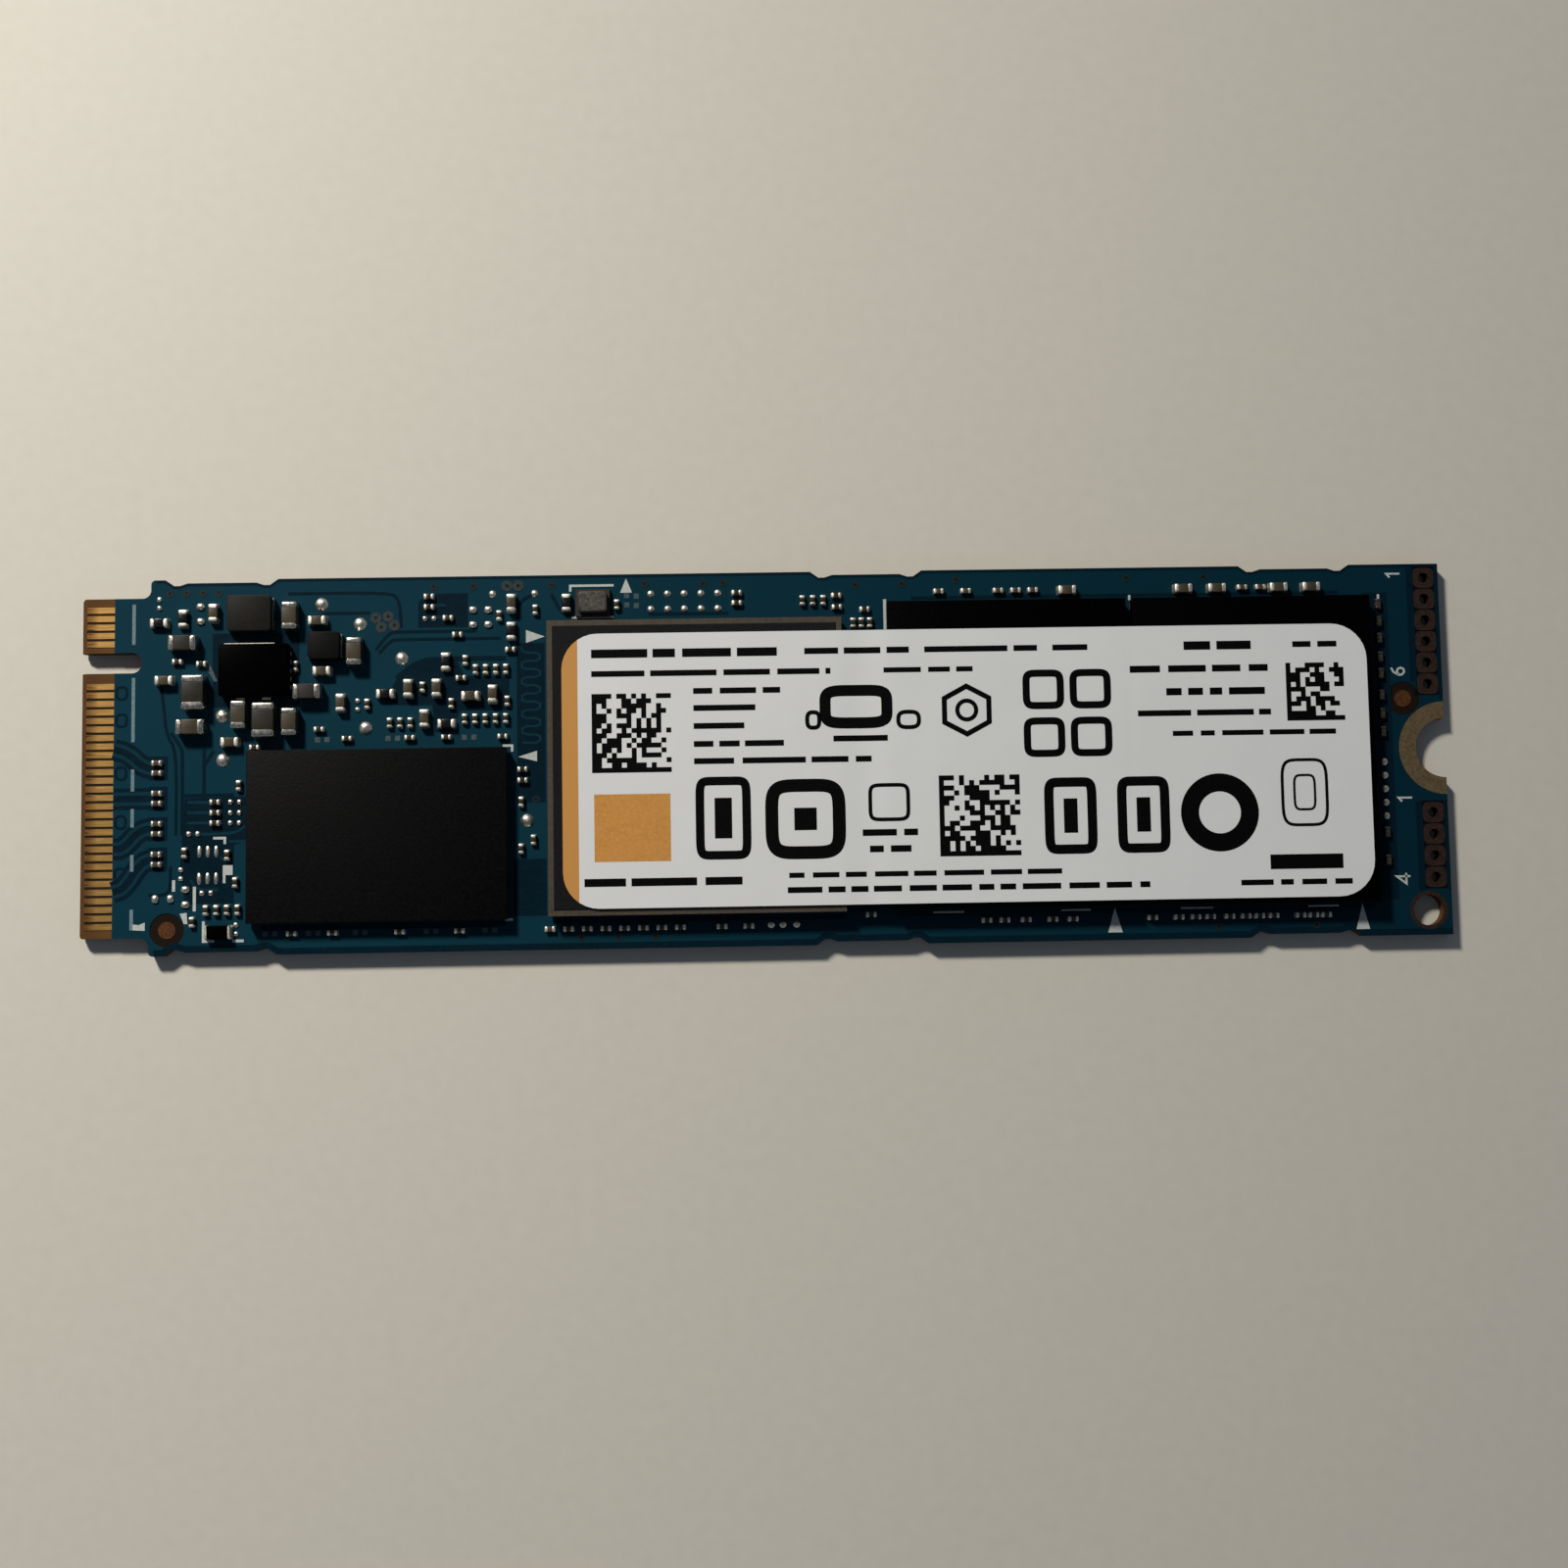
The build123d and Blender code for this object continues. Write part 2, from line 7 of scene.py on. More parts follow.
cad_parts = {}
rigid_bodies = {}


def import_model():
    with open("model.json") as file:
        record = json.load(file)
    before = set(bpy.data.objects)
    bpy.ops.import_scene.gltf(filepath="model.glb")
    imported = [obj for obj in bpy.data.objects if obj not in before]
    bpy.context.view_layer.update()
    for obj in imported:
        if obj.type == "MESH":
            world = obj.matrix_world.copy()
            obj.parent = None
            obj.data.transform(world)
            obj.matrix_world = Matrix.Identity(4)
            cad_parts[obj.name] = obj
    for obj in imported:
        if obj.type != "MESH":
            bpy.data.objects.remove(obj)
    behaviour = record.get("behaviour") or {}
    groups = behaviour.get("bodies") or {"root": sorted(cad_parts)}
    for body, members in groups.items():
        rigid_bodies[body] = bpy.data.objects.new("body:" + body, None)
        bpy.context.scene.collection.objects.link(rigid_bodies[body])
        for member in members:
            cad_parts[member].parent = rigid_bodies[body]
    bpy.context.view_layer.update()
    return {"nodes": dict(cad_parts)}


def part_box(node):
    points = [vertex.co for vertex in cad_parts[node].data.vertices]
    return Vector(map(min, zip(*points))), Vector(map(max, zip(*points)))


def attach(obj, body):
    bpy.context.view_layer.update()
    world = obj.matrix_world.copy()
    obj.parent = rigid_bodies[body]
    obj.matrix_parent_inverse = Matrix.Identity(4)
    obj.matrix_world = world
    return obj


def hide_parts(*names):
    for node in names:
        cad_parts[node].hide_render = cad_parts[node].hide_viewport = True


for leftover in list(bpy.data.objects):  # the start-up cube, lamp and camera
    bpy.data.objects.remove(leftover)
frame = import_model()
mm = 0.001
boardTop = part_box("circuit_board")[1].z / mm
print("frame loaded:", len(frame["nodes"]), "nodes, board top at", round(boardTop, 3), "mm")


def islandsOf(node):
    # lowest and highest corners, in mm, of every separate solid of a node: corners at one point count
    # as one, and each face hands on its smallest label until none changes
    mesh = frame["nodes"][node].data
    co = np.empty(len(mesh.vertices) * 3, np.float32)
    mesh.vertices.foreach_get("co", co)
    corner = np.empty(len(mesh.loops), np.int32)
    mesh.loops.foreach_get("vertex_index", corner)
    points, merged = np.unique((co.reshape(-1, 3) / mm).round(4), axis=0, return_inverse=True)
    faces = merged.ravel()[corner].reshape(-1, 3)
    label, before = np.arange(len(points)), None
    while before is None or (label != before).any():
        before = label.copy()
        np.minimum.at(label, faces, before[faces].min(1, keepdims=True))
    owner = np.unique(label, return_inverse=True)[1].ravel()
    low = np.full((owner.max() + 1, 3), np.inf)
    high = -low
    np.minimum.at(low, owner, points)
    np.maximum.at(high, owner, points)
    return low, high


def hexToLinear(text):
    # sRGB curve undone, channel by channel
    srgb = np.array([int(text[i:i + 2], 16) for i in (1, 3, 5)]) / 255
    linear = np.where(srgb <= 0.04045, srgb / 12.92, ((srgb + 0.055) / 1.055) ** 2.4)
    return (*map(float, linear), 1.0)


def plug(tree, node, values):
    # values: socket name or number, with a constant or the output that feeds it
    for key, value in values.items():
        if isinstance(value, bpy.types.NodeSocket):
            tree.links.new(value, node.inputs[key])
        else:
            node.inputs[key].default_value = value


def addNode(tree, kind, values, settings=None, out=0):
    # a node with its settings and links; gives back one of its outputs
    node = tree.nodes.new(kind)
    for key, value in (settings or {}).items():
        setattr(node, key, value)
    plug(tree, node, values)
    return node.outputs[out]


# settings of mix and math nodes
rgba = {"data_type": "RGBA"}
mathWords = ("MULTIPLY", "SUBTRACT", "GREATER_THAN", "LESS_THAN", "COMPARE", "MAXIMUM")
times, less, over, under, near, most = ({"operation": word} for word in mathWords)


def blank(name):
    # a new material, its tree, its shader, and the place on the piece that patterns are laid out by
    material = bpy.data.materials.new(name)
    material.use_nodes = True
    tree = material.node_tree
    place = addNode(tree, "ShaderNodeTexCoord", {}, out="Object")
    return material, tree, tree.nodes["Principled BSDF"], place


speckle = {"span": (0.35, 0.65), "patchDetail": 2.0, "grainDetail": 3.0}  # most of a noise lies in the span


def speckled(name, look):
    # slow patches between the first and the third colour, fine grain of the second colour over them;
    # the same grain moves the roughness and lifts the surface
    material, tree, shader, place = blank(name)
    first, second, third = map(hexToLinear, look["colours"])
    spots = []
    for kind in ("patch", "grain"):
        noise = addNode(tree, "ShaderNodeTexNoise", {"Vector": place, "Scale": 1 / (look[kind + "Mm"] * mm),
                                                     "Detail": speckle[kind + "Detail"]})
        spots.append(addNode(tree, "ShaderNodeMapRange", {"Value": noise, "From Min": speckle["span"][0],
                                                          "From Max": speckle["span"][1]}))
    patch, grain = spots
    colour = addNode(tree, "ShaderNodeMix", {0: patch, 6: first, 7: third}, rgba, 2)
    colour = addNode(tree, "ShaderNodeMix", {0: grain, 6: colour, 7: second}, rgba, 2)
    # past a given X the colour turns to a darker one: painted shade
    if "dull" in look:
        x = addNode(tree, "ShaderNodeSeparateXYZ", {0: place})
        far = addNode(tree, "ShaderNodeMath", {0: x, 1: look["dullFromX"] * mm}, over)
        colour = addNode(tree, "ShaderNodeMix", {0: far, 6: colour, 7: hexToLinear(look["dull"])}, rgba, 2)
    plug(tree, shader, {
        "Base Color": colour,
        "Roughness": addNode(tree, "ShaderNodeMapRange", {"Value": grain, "To Min": look["rough"][0],
                                                          "To Max": look["rough"][1]}),
        "Normal": addNode(tree, "ShaderNodeBump", {"Height": grain, "Distance": look["reliefMm"] * mm,
                                                   "Strength": 1.0}),
        "Metallic": look.get("metallic", 0.0),
        "Specular IOR Level": look.get("specular", 0.5),
    })
    return material


# finishes: colours are ground, grain and patches, and grain sizes are millimetres on the real part
finishes = {
    # moulded epoxy of the memory package: matt charcoal with a fine spark-eroded grain
    "moulded_epoxy_charcoal": {"colours": ("#040404", "#090808", "#060606"), "grainMm": 0.16, "patchMm": 5.0,
                               "rough": (0.5, 0.62), "reliefMm": 0.005, "specular": 0.05},
    # moulded epoxy of the flash packages: almost black and a little smoother
    "moulded_epoxy_black": {"colours": ("#000000", "#020203", "#010102"), "grainMm": 0.13, "patchMm": 4.0,
                            "rough": (0.35, 0.45), "reliefMm": 0.003, "specular": 0.02},
    # controller cap: grey-black moulded epoxy, satin
    "moulded_epoxy_grey": {"colours": ("#111112", "#171617", "#131413"), "grainMm": 0.15, "patchMm": 4.0,
                           "rough": (0.42, 0.52), "reliefMm": 0.003, "specular": 0.08},
    # moulded epoxy of the small chips: deep black, eggshell
    "moulded_epoxy_small": {"colours": ("#000000", "#010201", "#000100"), "grainMm": 0.09, "patchMm": 1.0,
                            "rough": (0.35, 0.45), "reliefMm": 0.001, "specular": 0.01},
    # package carrier: glass-epoxy under a tan mask, satin
    "carrier_laminate_tan": {"colours": ("#38332b", "#433c32", "#40382c"), "grainMm": 0.2, "patchMm": 3.0,
                             "rough": (0.45, 0.55), "reliefMm": 0.002, "specular": 0.2},
    # pressed iron powder with resin: dark grey, speckled and dry
    "pressed_iron_powder": {"colours": ("#0c0c0a", "#1b1a16", "#100f0c"), "grainMm": 0.07, "patchMm": 1.0,
                            "rough": (0.5, 0.65), "reliefMm": 0.003, "specular": 0.1},
    # a darker copy for the small inductor: painted shade
    "pressed_iron_shaded": {"colours": ("#050505", "#0f0f0e", "#080808"), "grainMm": 0.07, "patchMm": 1.0,
                          "rough": (0.5, 0.65), "reliefMm": 0.003, "specular": 0.06},
    # matt tin over nickel on the larger parts: soft grey metal, smooth on its flats
    "tin_plate_smooth": {"colours": ("#b7b2a5", "#c6c1b4", "#a9a497"), "grainMm": 0.2, "patchMm": 0.7,
                         "rough": (0.26, 0.34), "reliefMm": 0.0003, "metallic": 1.0},
    # matt tin of the small parts, wetted by solder: paler and rougher, and past a given X, beside the last
    # package, darkened by painted shade of that package
    "tin_plate_matt": {"colours": ("#cdc8ba", "#dedacd", "#c0bbac"), "grainMm": 0.14, "patchMm": 0.5,
                       "rough": (0.44, 0.56), "reliefMm": 0.001, "metallic": 1.0,
                       "dullFromX": 35.6, "dull": "#55524c"},
    # solder that set in the open: bright rounded metal with a warm grey cast
    "reflowed_solder": {"colours": ("#c9c2b3", "#d8d3c6", "#b8b0a0"), "grainMm": 0.14, "patchMm": 0.4,
                        "rough": (0.32, 0.44), "reliefMm": 0.002, "metallic": 1.0},
    # fired barium titanate: brown-grey, eggshell
    "fired_ceramic_brown": {"colours": ("#2f2b21", "#3c362a", "#3f382a"), "grainMm": 0.08, "patchMm": 0.7,
                            "rough": (0.4, 0.52), "reliefMm": 0.002, "specular": 0.2},
    "fired_ceramic_grey": {"colours": ("#211f1a", "#282620", "#2b2822"), "grainMm": 0.08, "patchMm": 0.9,
                           "rough": (0.4, 0.52), "reliefMm": 0.002, "specular": 0.15},
    # sintered ferrite of the beads: darker and duller
    "sintered_ferrite": {"colours": ("#21201d", "#292824", "#2c2b26"), "grainMm": 0.07, "patchMm": 0.6,
                         "rough": (0.5, 0.62), "reliefMm": 0.003, "specular": 0.15},
    # resistor top glaze: black glass, smooth
    "glass_glaze_black": {"colours": ("#06080a", "#0b0e10", "#080a0c"), "grainMm": 0.1, "patchMm": 0.5,
                          "rough": (0.25, 0.35), "reliefMm": 0.001, "specular": 0.25},
    # glaze of the smallest chips: thin olive glass over the ceramic
    "glass_glaze_olive": {"colours": ("#201f14", "#2b291b", "#272317"), "grainMm": 0.1, "patchMm": 0.5,
                          "rough": (0.25, 0.35), "reliefMm": 0.001, "specular": 0.25},
    # alumina base of the oscillator: dark fired ceramic
    "fired_alumina_dark": {"colours": ("#24221e", "#2c2a25", "#282620"), "grainMm": 0.08, "patchMm": 0.6,
                           "rough": (0.45, 0.6), "reliefMm": 0.002, "specular": 0.2},
    # seam-welded nickel lid: dull grey metal
    "nickel_lid": {"colours": ("#625f5a", "#6e6b65", "#585550"), "grainMm": 0.16, "patchMm": 0.8,
                   "rough": (0.34, 0.42), "reliefMm": 0.001, "metallic": 1.0},
    # bare copper of the round marks, gone red-brown
    "bare_copper_tarnished": {"colours": ("#47290f", "#553317", "#3b220f"), "grainMm": 0.12, "patchMm": 0.4,
                              "rough": (0.45, 0.58), "reliefMm": 0.002, "metallic": 0.3, "specular": 0.2},
    # copper of the header lands under old flux: dull mauve-brown
    "bare_copper_fluxed": {"colours": ("#261a15", "#30221b", "#201611"), "grainMm": 0.12, "patchMm": 0.4,
                           "rough": (0.5, 0.62), "reliefMm": 0.002, "metallic": 0.2, "specular": 0.15},
    # thin flash gold on the screw land: flat khaki, no shine left
    "flash_gold_worn": {"colours": ("#564833", "#60523a", "#4c3d29"), "grainMm": 0.15, "patchMm": 0.8,
                        "rough": (0.5, 0.6), "reliefMm": 0.002, "metallic": 0.2, "specular": 0.2},
    # screen-printed ink: matt white, and the thin lines where the mask shows through it
    "screen_ink_white": {"colours": ("#9fa49f", "#aaaea9", "#959c97"), "grainMm": 0.12, "patchMm": 0.5,
                         "rough": (0.6, 0.75), "reliefMm": 0.003, "specular": 0.2},
    "screen_ink_thin": {"colours": ("#546a6e", "#63777b", "#4b6268"), "grainMm": 0.12, "patchMm": 0.5,
                        "rough": (0.6, 0.75), "reliefMm": 0.003, "specular": 0.2},
    # thermal-transfer ink on the label: flat black, and a warm field
    "transfer_ink_black": {"colours": ("#020202", "#050505", "#030303"), "grainMm": 0.1, "patchMm": 1.5,
                           "rough": (0.5, 0.6), "reliefMm": 0.001, "specular": 0.05},
    "transfer_ink_orange": {"colours": ("#b17c3b", "#b8833f", "#ad7836"), "grainMm": 0.2, "patchMm": 1.5,
                            "rough": (0.5, 0.6), "reliefMm": 0.001, "specular": 0.2},
    # solder mask where no copper lies under it: deep blue, and the runs of copper that cross it; the same
    # deep blue also serves as painted shade round the power chip and beside the last package
    "mask_over_glass_and_shade": {"colours": ("#03161f", "#041923", "#041823"), "grainMm": 0.3, "patchMm": 3.0,
                        "rough": (0.36, 0.4), "reliefMm": 0.001, "specular": 0.06},
    "mask_over_trace": {"colours": ("#0a2933", "#0c2c36", "#0b2a35"), "grainMm": 0.3, "patchMm": 3.0,
                        "rough": (0.36, 0.4), "reliefMm": 0.001, "specular": 0.06},
    # mask drawn thin over a copper edge, as round a via: tan shows through
    "mask_over_via": {"colours": ("#101d20", "#171f1e", "#121c1d"), "grainMm": 0.1, "patchMm": 0.4,
                      "rough": (0.35, 0.45), "reliefMm": 0.002, "specular": 0.2},
    "mask_worn_thin": {"colours": ("#1f2a2b", "#2b302d", "#182628"), "grainMm": 0.14, "patchMm": 0.5,
                       "rough": (0.4, 0.5), "reliefMm": 0.002, "specular": 0.2},
    "via_sink": {"colours": ("#03090b", "#060d0f", "#040a0c"), "grainMm": 0.1, "patchMm": 0.4,
                 "rough": (0.35, 0.45), "reliefMm": 0.002, "specular": 0.2},
    # bare land without solder: tin gone dull under flux
    "land_dull": {"colours": ("#2c3a3e", "#39484c", "#313e42"), "grainMm": 0.12, "patchMm": 0.4,
                  "rough": (0.4, 0.55), "reliefMm": 0.003, "metallic": 0.3},
}
shop = {name: speckled(name, look) for name, look in finishes.items()}


def contactRows():
    # middle and half length, along Y, of the contacts on either side of the key notch
    low, high = islandsOf("edge_contacts_top")
    keyY = 6.125  # middle of the key notch
    sides = [low[:, 1] > keyY, low[:, 1] < keyY]
    ends = [(low[side, 1].min(), high[side, 1].max()) for side in sides]
    return [((south + north) / 2, (north - south) / 2) for south, north in ends]


def maskedLaminate():
    # glass-epoxy board: blue-green lacquer over copper on both faces, brown laminate where the lacquer stops
    # (cut edges and the shallow openings, told by their height)
    look = {"mask": ("#082a35", "#0a2f3b"), "maskShadedFar": "#04222d", "farShadeX": (-20, 40), "patchMm": 6.0,
            "laminate": ("#48301a", "#5a3f21"), "opening": "#17100b", "openingX": -38.05, "nearFace": 0.4,
            "between": "#211a12", "betweenX": (-39.72, -38.12), "headerOpening": "#04090d",
            "barrel": "#2c1a12", "barrelX": (38.3, 39.9), "barrelY": ((7.0, 3.9), (-5.75, 2.7)),
            "clothMm": 0.42, "clothWander": 0.6, "plyMm": 0.1, "plyWander": 1.5, "waveBands": 20,
            "faceMm": 0.006, "dimpleMm": 0.35, "dimpleDepthMm": 0.002,
            "roughEdge": 0.65, "roughMask": 0.38, "shineEdge": 0.05, "shineMask": 0.06}
    material, tree, shader, place = blank("masked_laminate")
    x, y, z = (addNode(tree, "ShaderNodeSeparateXYZ", {0: place}, out=axis) for axis in (0, 1, 2))
    height = addNode(tree, "ShaderNodeMath", {0: z, 1: boardTop / 2 * mm}, less)
    height = addNode(tree, "ShaderNodeMath", {0: height}, {"operation": "ABSOLUTE"})
    onFace = addNode(tree, "ShaderNodeMath", {0: height, 1: (boardTop / 2 - look["faceMm"]) * mm}, over)
    # slow changes of the lacquer, and the dimples it takes as it flows over the glass cloth
    slow, dimple = (addNode(tree, "ShaderNodeTexNoise", {"Vector": place, "Scale": 1 / (size * mm),
                                                         "Detail": 2.0})
                    for size in (look["patchMm"], look["dimpleMm"]))
    deep, pale = map(hexToLinear, look["mask"])
    mask = addNode(tree, "ShaderNodeMix", {0: slow, 6: deep, 7: pale}, rgba, 2)
    # towards +X the lacquer darkens: painted shade, falling off away from the lamp
    along = addNode(tree, "ShaderNodeMapRange", {"Value": x, "From Min": look["farShadeX"][0] * mm,
                                                 "From Max": look["farShadeX"][1] * mm})
    mask = addNode(tree, "ShaderNodeMix", {0: along, 6: mask, 7: hexToLinear(look["maskShadedFar"])}, rgba, 2)
    # glass cloth: warp times weft waves, with the plies that show on a cut edge, halved since the sum
    # reaches two; all are drawn about six times coarser than the real ones, so that they show
    warp, weft = (addNode(tree, "ShaderNodeTexWave", {
        "Vector": place, "Scale": 1 / (look["clothMm"] * mm) / look["waveBands"],
        "Distortion": look["clothWander"], "Detail": 1.0}, {"bands_direction": axis}, 1)
        for axis in ("X", "Y"))
    ply = addNode(tree, "ShaderNodeTexWave", {
        "Vector": place, "Scale": 1 / (look["plyMm"] * mm) / look["waveBands"],
        "Distortion": look["plyWander"]}, {"bands_direction": "Z"}, 1)
    cloth = addNode(tree, "ShaderNodeMath", {0: warp, 1: weft, 2: ply}, {"operation": "MULTIPLY_ADD"})
    cloth = addNode(tree, "ShaderNodeMath", {0: cloth, 1: 0.5}, times)
    resin, glass = map(hexToLinear, look["laminate"])
    laminate = addNode(tree, "ShaderNodeMix", {0: cloth, 6: resin, 7: glass}, rgba, 2)

    def onRows(stretches):
        # 1 on either of two stretches along Y, each given by its middle and half length
        first, second = (addNode(tree, "ShaderNodeMath", {0: y, 1: middle * mm, 2: half * mm}, near)
                         for middle, half in stretches)
        return addNode(tree, "ShaderNodeMath", {0: first, 1: second}, most)

    # inside the openings the weave is darker: old flux round the lands, shade between the contacts
    upper = addNode(tree, "ShaderNodeMath", {0: height, 1: boardTop * look["nearFace"] * mm}, over)
    inner = addNode(tree, "ShaderNodeMath", {0: x, 1: look["openingX"] * mm}, over)
    inner = addNode(tree, "ShaderNodeMath", {0: inner, 1: upper}, times)
    start = addNode(tree, "ShaderNodeMath", {0: x, 1: look["betweenX"][0] * mm}, over)
    end = addNode(tree, "ShaderNodeMath", {0: x, 1: look["betweenX"][1] * mm}, under)
    between = addNode(tree, "ShaderNodeMath", {0: start, 1: end}, times)
    between = addNode(tree, "ShaderNodeMath", {0: between, 1: upper}, times)
    between = addNode(tree, "ShaderNodeMath", {0: between, 1: onRows(contactRows())}, times)
    # the plated holes of the two header rows are brown down to the underside
    west, east = look["barrelX"]
    barrel = addNode(tree, "ShaderNodeMath", {0: x, 1: (west + east) / 2 * mm,
                                              2: (east - west) / 2 * mm}, near)
    barrel = addNode(tree, "ShaderNodeMath", {0: barrel, 1: onRows(look["barrelY"])}, times)
    header = addNode(tree, "ShaderNodeMath", {0: barrel, 1: upper}, times)
    shades = {"barrel": barrel, "opening": inner, "headerOpening": header, "between": between}
    for shade, where in shades.items():
        dark = hexToLinear(look[shade])
        laminate = addNode(tree, "ShaderNodeMix", {0: where, 6: laminate, 7: dark}, rgba, 2)
    rough, shine = (addNode(tree, "ShaderNodeMapRange", {"Value": onFace, "To Min": look[kind + "Edge"],
                                                         "To Max": look[kind + "Mask"]})
                    for kind in ("rough", "shine"))
    plug(tree, shader, {
        "Base Color": addNode(tree, "ShaderNodeMix", {0: onFace, 6: laminate, 7: mask}, rgba, 2),
        "Roughness": rough,
        "Normal": addNode(tree, "ShaderNodeBump", {"Height": dimple, "Distance": look["dimpleDepthMm"] * mm,
                                                   "Strength": 1.0}),
        "Specular IOR Level": shine,
    })
    return material


def hardGold():
    # hard gold over nickel on the contacts: warm metal, wiped by a socket, so the outer ends are duller,
    # with brown streaks along X
    look = {"colours": ("#83612f", "#bb955a"), "dull": "#78552f", "wear": "#38240f", "wipeX": (-39.55, -39.0),
            "streakMm": (1.2, 0.12), "streakDepthMm": 0.003, "wearSpan": (0.5, 0.66), "rough": (0.46, 0.58)}
    material, tree, shader, place = blank("hard_gold_on_nickel")
    lengths = (1 / (look["streakMm"][0] * mm), 1 / (look["streakMm"][1] * mm), 1.0)
    stretched = addNode(tree, "ShaderNodeMapping", {"Vector": place, "Scale": lengths})
    streak = addNode(tree, "ShaderNodeTexNoise", {"Vector": stretched, "Scale": 1.0, "Detail": 4.0})
    x = addNode(tree, "ShaderNodeSeparateXYZ", {0: place})
    wipe = addNode(tree, "ShaderNodeMapRange", {"Value": x, "From Min": look["wipeX"][1] * mm,
                                                "From Max": look["wipeX"][0] * mm})
    worn = addNode(tree, "ShaderNodeMapRange", {"Value": streak, "From Min": look["wearSpan"][0],
                                                "From Max": look["wearSpan"][1]})
    worn = addNode(tree, "ShaderNodeMath", {0: worn, 1: wipe}, times)
    deep, bright = map(hexToLinear, look["colours"])
    gold = addNode(tree, "ShaderNodeMix", {0: streak, 6: deep, 7: bright}, rgba, 2)
    gold = addNode(tree, "ShaderNodeMix", {0: wipe, 6: gold, 7: hexToLinear(look["dull"])}, rgba, 2)
    gold = addNode(tree, "ShaderNodeMix", {0: worn, 6: gold, 7: hexToLinear(look["wear"])}, rgba, 2)
    plug(tree, shader, {
        "Base Color": gold,
        "Roughness": addNode(tree, "ShaderNodeMapRange", {"Value": streak, "To Min": look["rough"][0],
                                                          "To Max": look["rough"][1]}),
        "Normal": addNode(tree, "ShaderNodeBump", {"Height": streak, "Distance": look["streakDepthMm"] * mm,
                                                   "Strength": 1.0}),
        "Metallic": 1.0,
    })
    return material


def labelFilm():
    # white polyester label with a printed orange band along its contact-side edge: satin, faintly mottled
    look = {"white": ("#c2c3c1", "#c9cac8"), "band": "#b17e3e", "bandEndX": -11.0, "mottleMm": 3.0,
            "waveMm": 0.02, "grainMm": 0.25, "grainDepthMm": 0.0015, "rough": (0.5, 0.58), "specular": 0.25}
    material, tree, shader, place = blank("polyester_label_film")
    mottle, grain = (addNode(tree, "ShaderNodeTexNoise", {"Vector": place, "Scale": 1 / (size * mm),
                                                          "Detail": detail})
                     for size, detail in ((look["mottleMm"], 4.0), (look["grainMm"], 2.0)))
    grey, pale = map(hexToLinear, look["white"])
    white = addNode(tree, "ShaderNodeMix", {0: mottle, 6: grey, 7: pale}, rgba, 2)
    wave = addNode(tree, "ShaderNodeBump", {"Height": mottle, "Distance": look["waveMm"] * mm,
                                            "Strength": 1.0})
    x = addNode(tree, "ShaderNodeSeparateXYZ", {0: place})
    isBand = addNode(tree, "ShaderNodeMath", {0: x, 1: look["bandEndX"] * mm}, under)
    printed = addNode(tree, "ShaderNodeMix", {0: isBand, 6: white, 7: hexToLinear(look["band"])}, rgba, 2)
    plug(tree, shader, {
        "Base Color": printed,
        "Roughness": addNode(tree, "ShaderNodeMapRange", {"Value": grain, "To Min": look["rough"][0],
                                                          "To Max": look["rough"][1]}),
        "Normal": addNode(tree, "ShaderNodeBump", {"Height": grain, "Distance": look["grainDepthMm"] * mm,
                                                   "Strength": 1.0, "Normal": wave}),
        "Specular IOR Level": look["specular"],
    })
    return material


shop["masked_laminate"] = maskedLaminate()
shop["hard_gold_on_nickel"] = hardGold()
shop["polyester_label_film"] = labelFilm()
print("finishes made:", len(shop))


def carry(loops, ring=False):
    # loops (items, steps, corners, 3): each loop is joined to the next by quads;
    # the first and last are closed by flat caps, or joined to each other in a ring
    items, steps, corners, _ = loops.shape
    number = np.arange(items * steps * corners).reshape(items, steps, corners)
    last = np.roll(number, -1, 1) if ring else number[:, 1:]
    first = number if ring else number[:, :-1]
    quads = np.stack([first, np.roll(first, -1, 2), np.roll(last, -1, 2), last], -1).reshape(-1, 4)
    groups = [quads] if ring else [quads, number[:, 0, ::-1], number[:, -1]]
    return loops.reshape(-1, 3), groups


def merge(parts):
    # several surfaces as one, each one's corner numbers moved past those before it
    verts, groups, shift = [], [], 0
    for points, faces in parts:
        verts.append(points)
        groups += [face + shift for face in faces]
        shift += len(points)
    return np.concatenate(verts), groups


# edges bent more than this, in degrees, stay sharp
creases = {"flat": 30, "box": 40, "film": 50, "plated": 60, "solder": 70}


def makePiece(name, surface, finish, replaced=(), crease=creases["box"]):
    # a surface in mm becomes a mesh in metres with one finish; the card is one body, so all ride on it
    verts, groups = surface
    mesh = bpy.data.meshes.new(name)
    corners = np.concatenate([g.ravel() for g in groups]).astype(np.int32)
    sizes = np.concatenate([np.full(len(g), g.shape[1]) for g in groups])
    starts = (np.cumsum(sizes) - sizes).astype(np.int32)
    mesh.vertices.add(len(verts))
    mesh.vertices.foreach_set("co", (verts * mm).astype(np.float32).ravel())
    mesh.loops.add(len(corners))
    mesh.loops.foreach_set("vertex_index", corners)
    mesh.polygons.add(len(sizes))
    mesh.polygons.foreach_set("loop_start", starts)
    mesh.update(calc_edges=True)
    mesh.polygons.foreach_set("use_smooth", np.ones(len(sizes), bool))
    mesh.set_sharp_from_angle(angle=math.radians(crease))
    mesh.materials.append(shop[finish])
    piece = bpy.data.objects.new(name, mesh)
    bpy.context.scene.collection.objects.link(piece)
    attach(piece, "root")
    if replaced:
        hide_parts(*replaced)


blockLimits = {"cutShare": 0.24, "insetShare": 0.4}  # of the narrower side, at most


